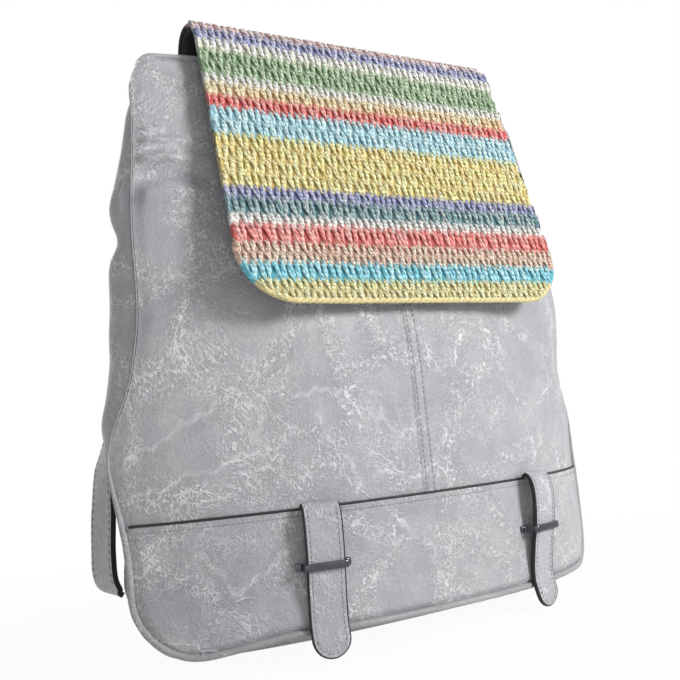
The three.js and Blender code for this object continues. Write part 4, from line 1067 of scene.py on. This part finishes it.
row_count = [rows for _, rows, _ in STRIPES]
row_high = np.repeat([high / rows for _, rows, high in STRIPES], row_count)
row_s = np.cumsum(row_high) - row_high / 2
row_colour = np.repeat(linear([shade for shade, _, _ in STRIPES]), row_count, 0)
across = np.arange(-15, 16)[None] + (0.5 - 0.35 * np.arange(len(row_s))[:, None]) % 1
spots = np.broadcast_arrays(across * STITCH, row_s[:, None], np.maximum(row_high, 6.2)[:, None])
kept = (np.abs(spots[0]) < flap_half(spots[1]) + 1.5) & (spots[1] < FLAP_LENGTH - 2)
places = [values[kept] for values in spots]
places.append(np.broadcast_to(row_colour[:, None], (*across.shape, 3))[kept])
legs = [([(-0.36, 0.84), (-0.32, 0.14), (-0.05, -0.56)], 1.7),
        ([(0.18, 0.80), (0.24, 0.14), (0.13, -0.56)], 1.5)]
parts = [plies(*places, *leg, turn) for leg in legs for turn in (0.0, 2.1, 4.2)]
points, colours, uv = (np.concatenate([part[k] for part in parts]) for k in range(3))
ply_points = 4 * PLY_RINGS
faces = many(grid_faces(PLY_RINGS, 4, joined=True), ply_points, len(points))
faces += many([range(3, -1, -1)], ply_points, len(points))
faces += many([range(ply_points - 4, ply_points)], ply_points, len(points))
flap_yarn = put_mesh("flap_stitches", row(points), faces, [YARN], uv, colours.reshape(-1, 3))
fit(flap_yarn, "striped_yarn", body="flap")

corner_s = 1.2 + FLAP_CORNER * (1 - np.cos(np.linspace(0, np.pi / 2, 24)))
s = np.concatenate([corner_s, np.linspace(FLAP_CORNER + 3, FLAP_LENGTH, 110)])[:, None]
u = np.linspace(-1, 1, 60)
s = s + 0 * u
cloth = on_flap(u * (flap_half(s) - 1.4), s, -0.1)
# Under the stitches the cloth is the stripe's colour darkened to 0.68, painted shade for the gaps between the
# stitches. At the sides behind the crest it turns dark brown, painted shade of the flap's back.
back_side_shade = smooth(s - CREST, -8, 2) * smooth(np.abs(u), 0.9, 0.97)
cloth_shade_colour = mix(0.68 * stripe_at(s), linear((52, 47, 44)), back_side_shade[..., None])
flap_cloth = put_sheet("flap_cloth", cloth, 1.3, [YARN], bevel=0, colours=cloth_shade_colour.reshape(-1, 3))
fit(flap_cloth, "striped_yarn", "flap_weave", body="flap")

turn = np.linspace(0, np.pi / 2, 30)
rim_s = np.concatenate([np.linspace(FLAP_LENGTH, FLAP_CORNER + 2, 110),
                        FLAP_CORNER - (FLAP_CORNER - RIM_INSET) * np.sin(turn), np.full(59, RIM_INSET)])
rim_x = flap_half(rim_s[:140], RIM_INSET) - RIM_INSET * (rim_s[:140] > FLAP_CORNER)
rim_x = np.concatenate([rim_x, np.linspace(rim_x[-1], 0, 60)[1:]])
rim_x = np.concatenate([-rim_x, rim_x[:-1][::-1]])
rim_s = np.concatenate([rim_s, rim_s[:-1][::-1]])
rim = on_flap(rim_x, rim_s, -0.5)
rim_run = length_along(rim)
rim_out = on_flap(rim_x, rim_s, 0.5) - rim
# Behind the crest the rolled edge is thinner and its colour turns dark brown, painted shade of the flap's
# back. Elsewhere it is the stripe's colour at 0.85.
behind = smooth(rim_s - CREST, -8, 2)
knots = 1.4 * (1 + 0.28 * np.abs(np.sin(rim_run * np.pi / RIM_PITCH))) * (1 - 0.5 * behind)
rim_colour = mix(0.85 * stripe_at(rim_s), linear((70, 62, 56)), behind[:, None])
rim_uv = np.stack(np.broadcast_arrays(rim_run[:, None] / 4, np.arange(8) / 8), -1)
flap_rim = put_rod("flap_rolled_edge", rim, rim_out, ring_profile(1.0, 8)[None] * knots[:, None, None], YARN,
                   uv=rim_uv, colours=np.repeat(rim_colour, 8, 0))
fit(flap_rim, "striped_yarn", body="flap")

s = np.linspace(3.2, FLAP_LENGTH, 100)[:, None] + 0 * u
under = on_flap(u * (flap_half(s) - 3), s, -2.5)
flap_lining = put_sheet("flap_lining_cloth", under, CLOTH_THICK, [BLACK_CLOTH], bevel=0)
fit(flap_lining, "black_cloth", "flap_lining", body="flap")


# Magnetic snap. Two plated discs with a shallow dish: one riveted through the flap's lining and one
# through the lap of the front behind it.

SNAP_RADIUS, SNAP_THICK = 8, 1.0


def snap_disc(name, centre, axis, body, node):
    """A disc turned about an axis: a rounded rim, a flat ring and a dished middle with a small rivet."""
    place = np.array([-0.5, -0.5, -0.2, 0.2, 0.5, 0.5, 0.15, 0.15, 0.4, 0.4]) * SNAP_THICK
    size = np.array([0.5, 0.96, 1.0, 1.0, 0.95, 0.74, 0.66, 0.34, 0.26, 0.05]) * SNAP_RADIUS
    side = np.array([1.0, 0.0, 0.0])
    turn = -np.arange(40) * 2 * np.pi / 40
    ring = np.outer(np.cos(turn), side) + np.outer(np.sin(turn), np.cross(side, axis) * -1)
    points = centre + place[:, None, None] * axis + size[:, None, None] * ring
    faces = grid_faces(10, 40, joined=True).tolist()
    faces += [list(range(39, -1, -1)), list(range(360, 400))]
    fit(put_mesh(name, row(points), faces, [DARK_METAL]), "dark_metal", node, body=body)


front_slope = (front_y(0.0, SNAP_Z + 1.0) - front_y(0.0, SNAP_Z - 1.0)) / 2
front_out = unit(np.array([0.0, -1.0, front_slope]))
lap_face = np.array([0.0, front_y(0.0, SNAP_Z * 1.0) - 1, SNAP_Z])
snap_disc("snap_socket_metal", lap_face + front_out * (GAP + SNAP_THICK / 2), front_out, "bag", "snap_socket")
snap_at = np.interp(SNAP_Z, FLAP_LINE[:300, 1], FLAP_RUN[:300])
stud_axis = unit(on_flap(0.0, snap_at, -1.0) - on_flap(0.0, snap_at, 0.0))
snap_disc("snap_stud_metal", on_flap(0.0, snap_at, -4.1), stud_axis, "flap", "snap_stud")


# Yoke and grab handle. A patch of plain leather sewn to the top of the back, with a short loop of
# folded leather to hang the bag by.

YOKE_WIDTH, YOKE_HEIGHT, YOKE_DROP, YOKE_THICK = 88, 52, 22, 2.0
HANDLE_SPAN, HANDLE_BOW, HANDLE_WIDTH, HANDLE_THICK, HANDLE_DROP = 64, 17, 16, 3.0, 60
COARSE_SEWING = (3.6, 2.7, 0.4)
BACK_OUT = unit(np.array([0.0, 1.0, (DEPTH - MOUTH_BACK) / (HEIGHT - BACK_SEAM)]))


def on_back(x, z, d):
    """A place on the back panel: across, height, and the distance out from its face."""
    x, z, d = np.broadcast_arrays(np.asarray(x, float), z, d)
    return np.stack([x, back_y(z), z], -1) + BACK_OUT * d[..., None]


yoke_z = HEIGHT - YOKE_DROP - YOKE_HEIGHT / 2
u, v = np.meshgrid(np.linspace(1, -1, 40), np.linspace(-1, 1, 28))
yoke_grid = on_back(u * YOKE_WIDTH / 2, yoke_z + v * YOKE_HEIGHT / 2, 2.4)
yoke = put_sheet("yoke_leather", yoke_grid, YOKE_THICK, [STRAP_LEATHER, EDGE_PAINT], bevel=0.5)
fit(yoke, "strap_leather", "yoke")
corners = np.array([[0, -1], [1, -1], [1, 1], [-1, 1], [-1, -1], [0, -1]])
border = rounded(corners * [YOKE_WIDTH / 2 - 2.6, YOKE_HEIGHT / 2 - 2.6], 1.5)
steps = np.linspace(0, 1, 12)[:, None]
border = np.concatenate([mix(a, b, steps) for a, b in zip(border[:-1], border[1:])])
sewn = [(on_back(border[:, 0], yoke_z + border[:, 1], 2.4), np.tile(BACK_OUT, (len(border), 1)))]
fit(stitches("yoke_sewing", sewn, *COARSE_SEWING), "strap_leather")

u = np.linspace(-1, 1, 90)
bow = HANDLE_BOW * (1 - smooth(np.abs(u), 0.1, 0.72))
path = on_back(u * HANDLE_SPAN / 2, HEIGHT - HANDLE_DROP, 4.3 + bow)
face = np.cross(unit(np.cross(BACK_OUT, [1.0, 0.0, 0.0])) * -1, unit(np.gradient(path, axis=0)))
put_strap("grab_handle_leather", ribbon(path, face, HANDLE_WIDTH / 2), HANDLE_THICK, 0.6, "grab_handle")
sewn = strap_edges(path, face, 2.2, HANDLE_WIDTH / 2, HANDLE_THICK / 2)
fit(stitches("grab_handle_sewing", sewn, *COARSE_SEWING), "strap_leather")


# Strap rings and tabs. A leather tab folded through a bent wire ring at each upper corner of the
# yoke; the shoulder strap turns round the ring's other bar.

RING_X, RING_DROP, RUN_X, RUN_DROP, STRAP_TURN, RING_LENGTH, RING_WIRE = 62, 44, 120, 76, 3.4, 11, 2.6
STRAP_WIDTH, STRAP_THICK, RUN_LIFT = 28, 3.0, 4.5
RING_TAB_WIDTH, RING_TAB_THICK = 24, 2.0


def strap_place(sign):
    """The straight upper run of a strap: its lower end, its way up, and a function from the distance along
    it from the ring, out and across to a place."""
    ring_at = on_back(sign * RING_X, HEIGHT - RING_DROP, RUN_LIFT)
    run_end = on_back(sign * RUN_X, HEIGHT - RUN_DROP, RUN_LIFT)
    up = unit(ring_at - run_end)
    wide = np.cross(BACK_OUT, up)

    def place(s, q, w):
        s, q, w = (np.asarray(value, float)[..., None] for value in np.broadcast_arrays(s, q, w))
        return ring_at + up * s + BACK_OUT * q + wide * w
    return run_end, up, place


def fold(place, start, bar, way, back, count=24):
    """A strap that runs to a bar, turns round it and runs back: its points and the way to the bar."""
    turn = np.linspace(0, np.pi, count)[1:-1]
    s = np.concatenate([np.linspace(start, bar, 30), bar + way * STRAP_TURN * np.sin(turn),
                        np.linspace(bar, back, 30)])
    q = np.concatenate([np.zeros(30), STRAP_TURN * (1 - np.cos(turn)), np.full(30, 2 * STRAP_TURN)])
    lean = np.concatenate([np.zeros(30), turn, np.full(30, np.pi)])
    along = place(1.0, 0, 0) - place(0.0, 0, 0)
    face = np.outer(np.cos(lean), BACK_OUT) - way * np.outer(np.sin(lean), along)
    return place(s, q, 0.0), face


for hand, sign in HANDS:
    _, up, place = strap_place(sign)
    half = STRAP_WIDTH / 2 + GAP + RING_WIRE / 2 + 0.6
    middle = RING_LENGTH / 2
    loop = rounded([[middle, -half], [RING_LENGTH, -half], [RING_LENGTH, half], [0, half], [0, -half],
                    [middle, -half]], 2.5, 10)[:-1]
    path = place(loop[:, 0], STRAP_TURN, loop[:, 1])
    ring = put_rod(hand + "_ring_metal", path, np.tile(BACK_OUT, (len(path), 1)),
                   ring_profile(RING_WIRE / 2, 12), DARK_METAL, closed=True)
    fit(ring, "dark_metal", hand + "_strap_ring")
    reach = (RING_X - YOKE_WIDTH / 2 - GAP) / abs(up[0]) - 3
    strip = ribbon(*fold(place, reach, RING_LENGTH + 0.5, -1, reach), RING_TAB_WIDTH / 2, 7)
    put_strap(hand + "_ring_tab_leather", strip, RING_TAB_THICK, 0.4, hand + "_ring_tab")


# Shoulder straps. Long leather straps with painted edges, sewn into the base seam at each side. They
# hang beside the bag, turn over the back's edge, run up to the ring and come back under a slider.

STRAP_LOW, STRAP_INSET, STRAP_BOW, STRAP_EASE, STRAP_RETURN = 38, 22, 8, 4, 60


def beside(sign, rise, inset, bow, lean, under=0.0):
    """A place of the strap beside the gusset and the way it faces: rise from its foot to the corner, inset
    from the back, bow out from the gusset, lean turned to the back, under turned to the floor."""
    z = mix(STRAP_LOW, HEIGHT - RUN_DROP, rise)
    front_x = float(outline_half(front_half, FRONT_SEAM, z, 0))
    back_x = float(outline_half(back_half, BACK_SEAM, z, 0))
    slope = (front_x - back_x) / (back_y(z) - front_y(front_x, z))
    out = unit(np.array([sign, slope, 0.0]))
    ahead = STRAP_INSET * inset
    point = np.array([sign * (back_x + slope * ahead + STRAP_EASE), back_y(z) - ahead, z])
    point = point + out * (STRAP_BOW * bow + STRAP_THICK / 2)
    return np.concatenate([point, unit(mix(unit(np.array([sign, lean, 0.0])), -UP, under))])


for hand, sign in HANDS:
    run_end, up, place = strap_place(sign)
    corner_z = HEIGHT - RUN_DROP
    route = [beside(sign, *stop) for stop in (
        (0, 1, 0.05, 0, 0.85), (0.01, 1, 0.46, -0.06, 0.7), (0.042, 1, 0.85, -0.06, 0.3),
        (0.11, 0.95, 1, -0.06), (0.22, 0.8, 1, -0.06), (0.33, 0.35, 1.05, 0), (0.44, -0.25, 0.6, 0.15),
        (0.58, -0.55, 0.1, 0.3), (0.74, -0.62, -0.6, 0.5), (0.86, -0.62, -0.9, 0.8))]
    corner = [sign * (back_half(corner_z) - 2), back_y(corner_z) + 13, corner_z - 14]
    route += [np.concatenate([corner, unit(np.array([sign, 1.0, 0.0]))]),
              np.concatenate([run_end, BACK_OUT]), np.concatenate([run_end + up * 16, BACK_OUT])]
    lower = through(route, 900)
    lower = at_length(lower[:, :3], lower, np.linspace(0, length_along(lower[:, :3])[-1], 190))
    upper, upper_face = fold(place, -46.0, 0.0, 1, -STRAP_RETURN)
    path = np.concatenate([lower[:, :3], upper])
    face = unit(np.concatenate([lower[:, 3:], upper_face]))
    strip = ribbon(path, face, STRAP_WIDTH / 2, 11)
    put_strap(hand + "_shoulder_strap_leather", strip, STRAP_THICK, 0.5, hand + "_shoulder_strap")
    sewn = strap_edges(path[8:192], face[8:192], 2.2, STRAP_WIDTH / 2, STRAP_THICK / 2)
    sewn += strap_edges(path[-30:], -face[-30:], 2.2, STRAP_WIDTH / 2, STRAP_THICK / 2)
    fit(stitches(hand + "_shoulder_strap_sewing", sewn, 4.0, 3.0, 0.4), "strap_leather")


# Strap sliders. A flat sleeve of dark plated metal round both layers of each shoulder strap, which
# slides along the straight run.

SLIDER_AT, SLIDER_LENGTH, SLIDER_WALL, SLIDER_LOW = 52, 14, 2.0, -1.3


def block_profile(wide, high, radius):
    """A rectangle with rounded corners, counter-clockwise."""
    quarter = np.linspace(0, np.pi / 2, 4)
    spin = np.concatenate([quarter + k * np.pi / 2 for k in range(4)])
    corner = np.repeat([[1, 1], [-1, 1], [-1, -1], [1, -1]], 4, 0) * [wide / 2 - radius, high / 2 - radius]
    return corner + radius * np.stack([np.cos(spin), np.sin(spin)], -1)


for hand, sign in HANDS:
    _, up, place = strap_place(sign)
    half = STRAP_WIDTH / 2 + GAP + SLIDER_WALL / 2
    high = 2 * STRAP_TURN + STRAP_THICK / 2 + GAP
    middle = (SLIDER_LOW + high) / 2
    loop = rounded([[half, middle], [half, high], [-half, high], [-half, SLIDER_LOW], [half, SLIDER_LOW],
                    [half, middle]], 2.0)[:-1]
    path = place(-SLIDER_AT, loop[:, 1], loop[:, 0])
    face = unit(np.cross(np.gradient(path, axis=0), up))
    slider = put_rod(hand + "_slider_metal", path, face, block_profile(SLIDER_LENGTH, 1.2, 0.4), DARK_METAL,
                     closed=True)
    fit(slider, "dark_metal", hand + "_strap_slider", body=hand + "_slider")


low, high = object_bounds()
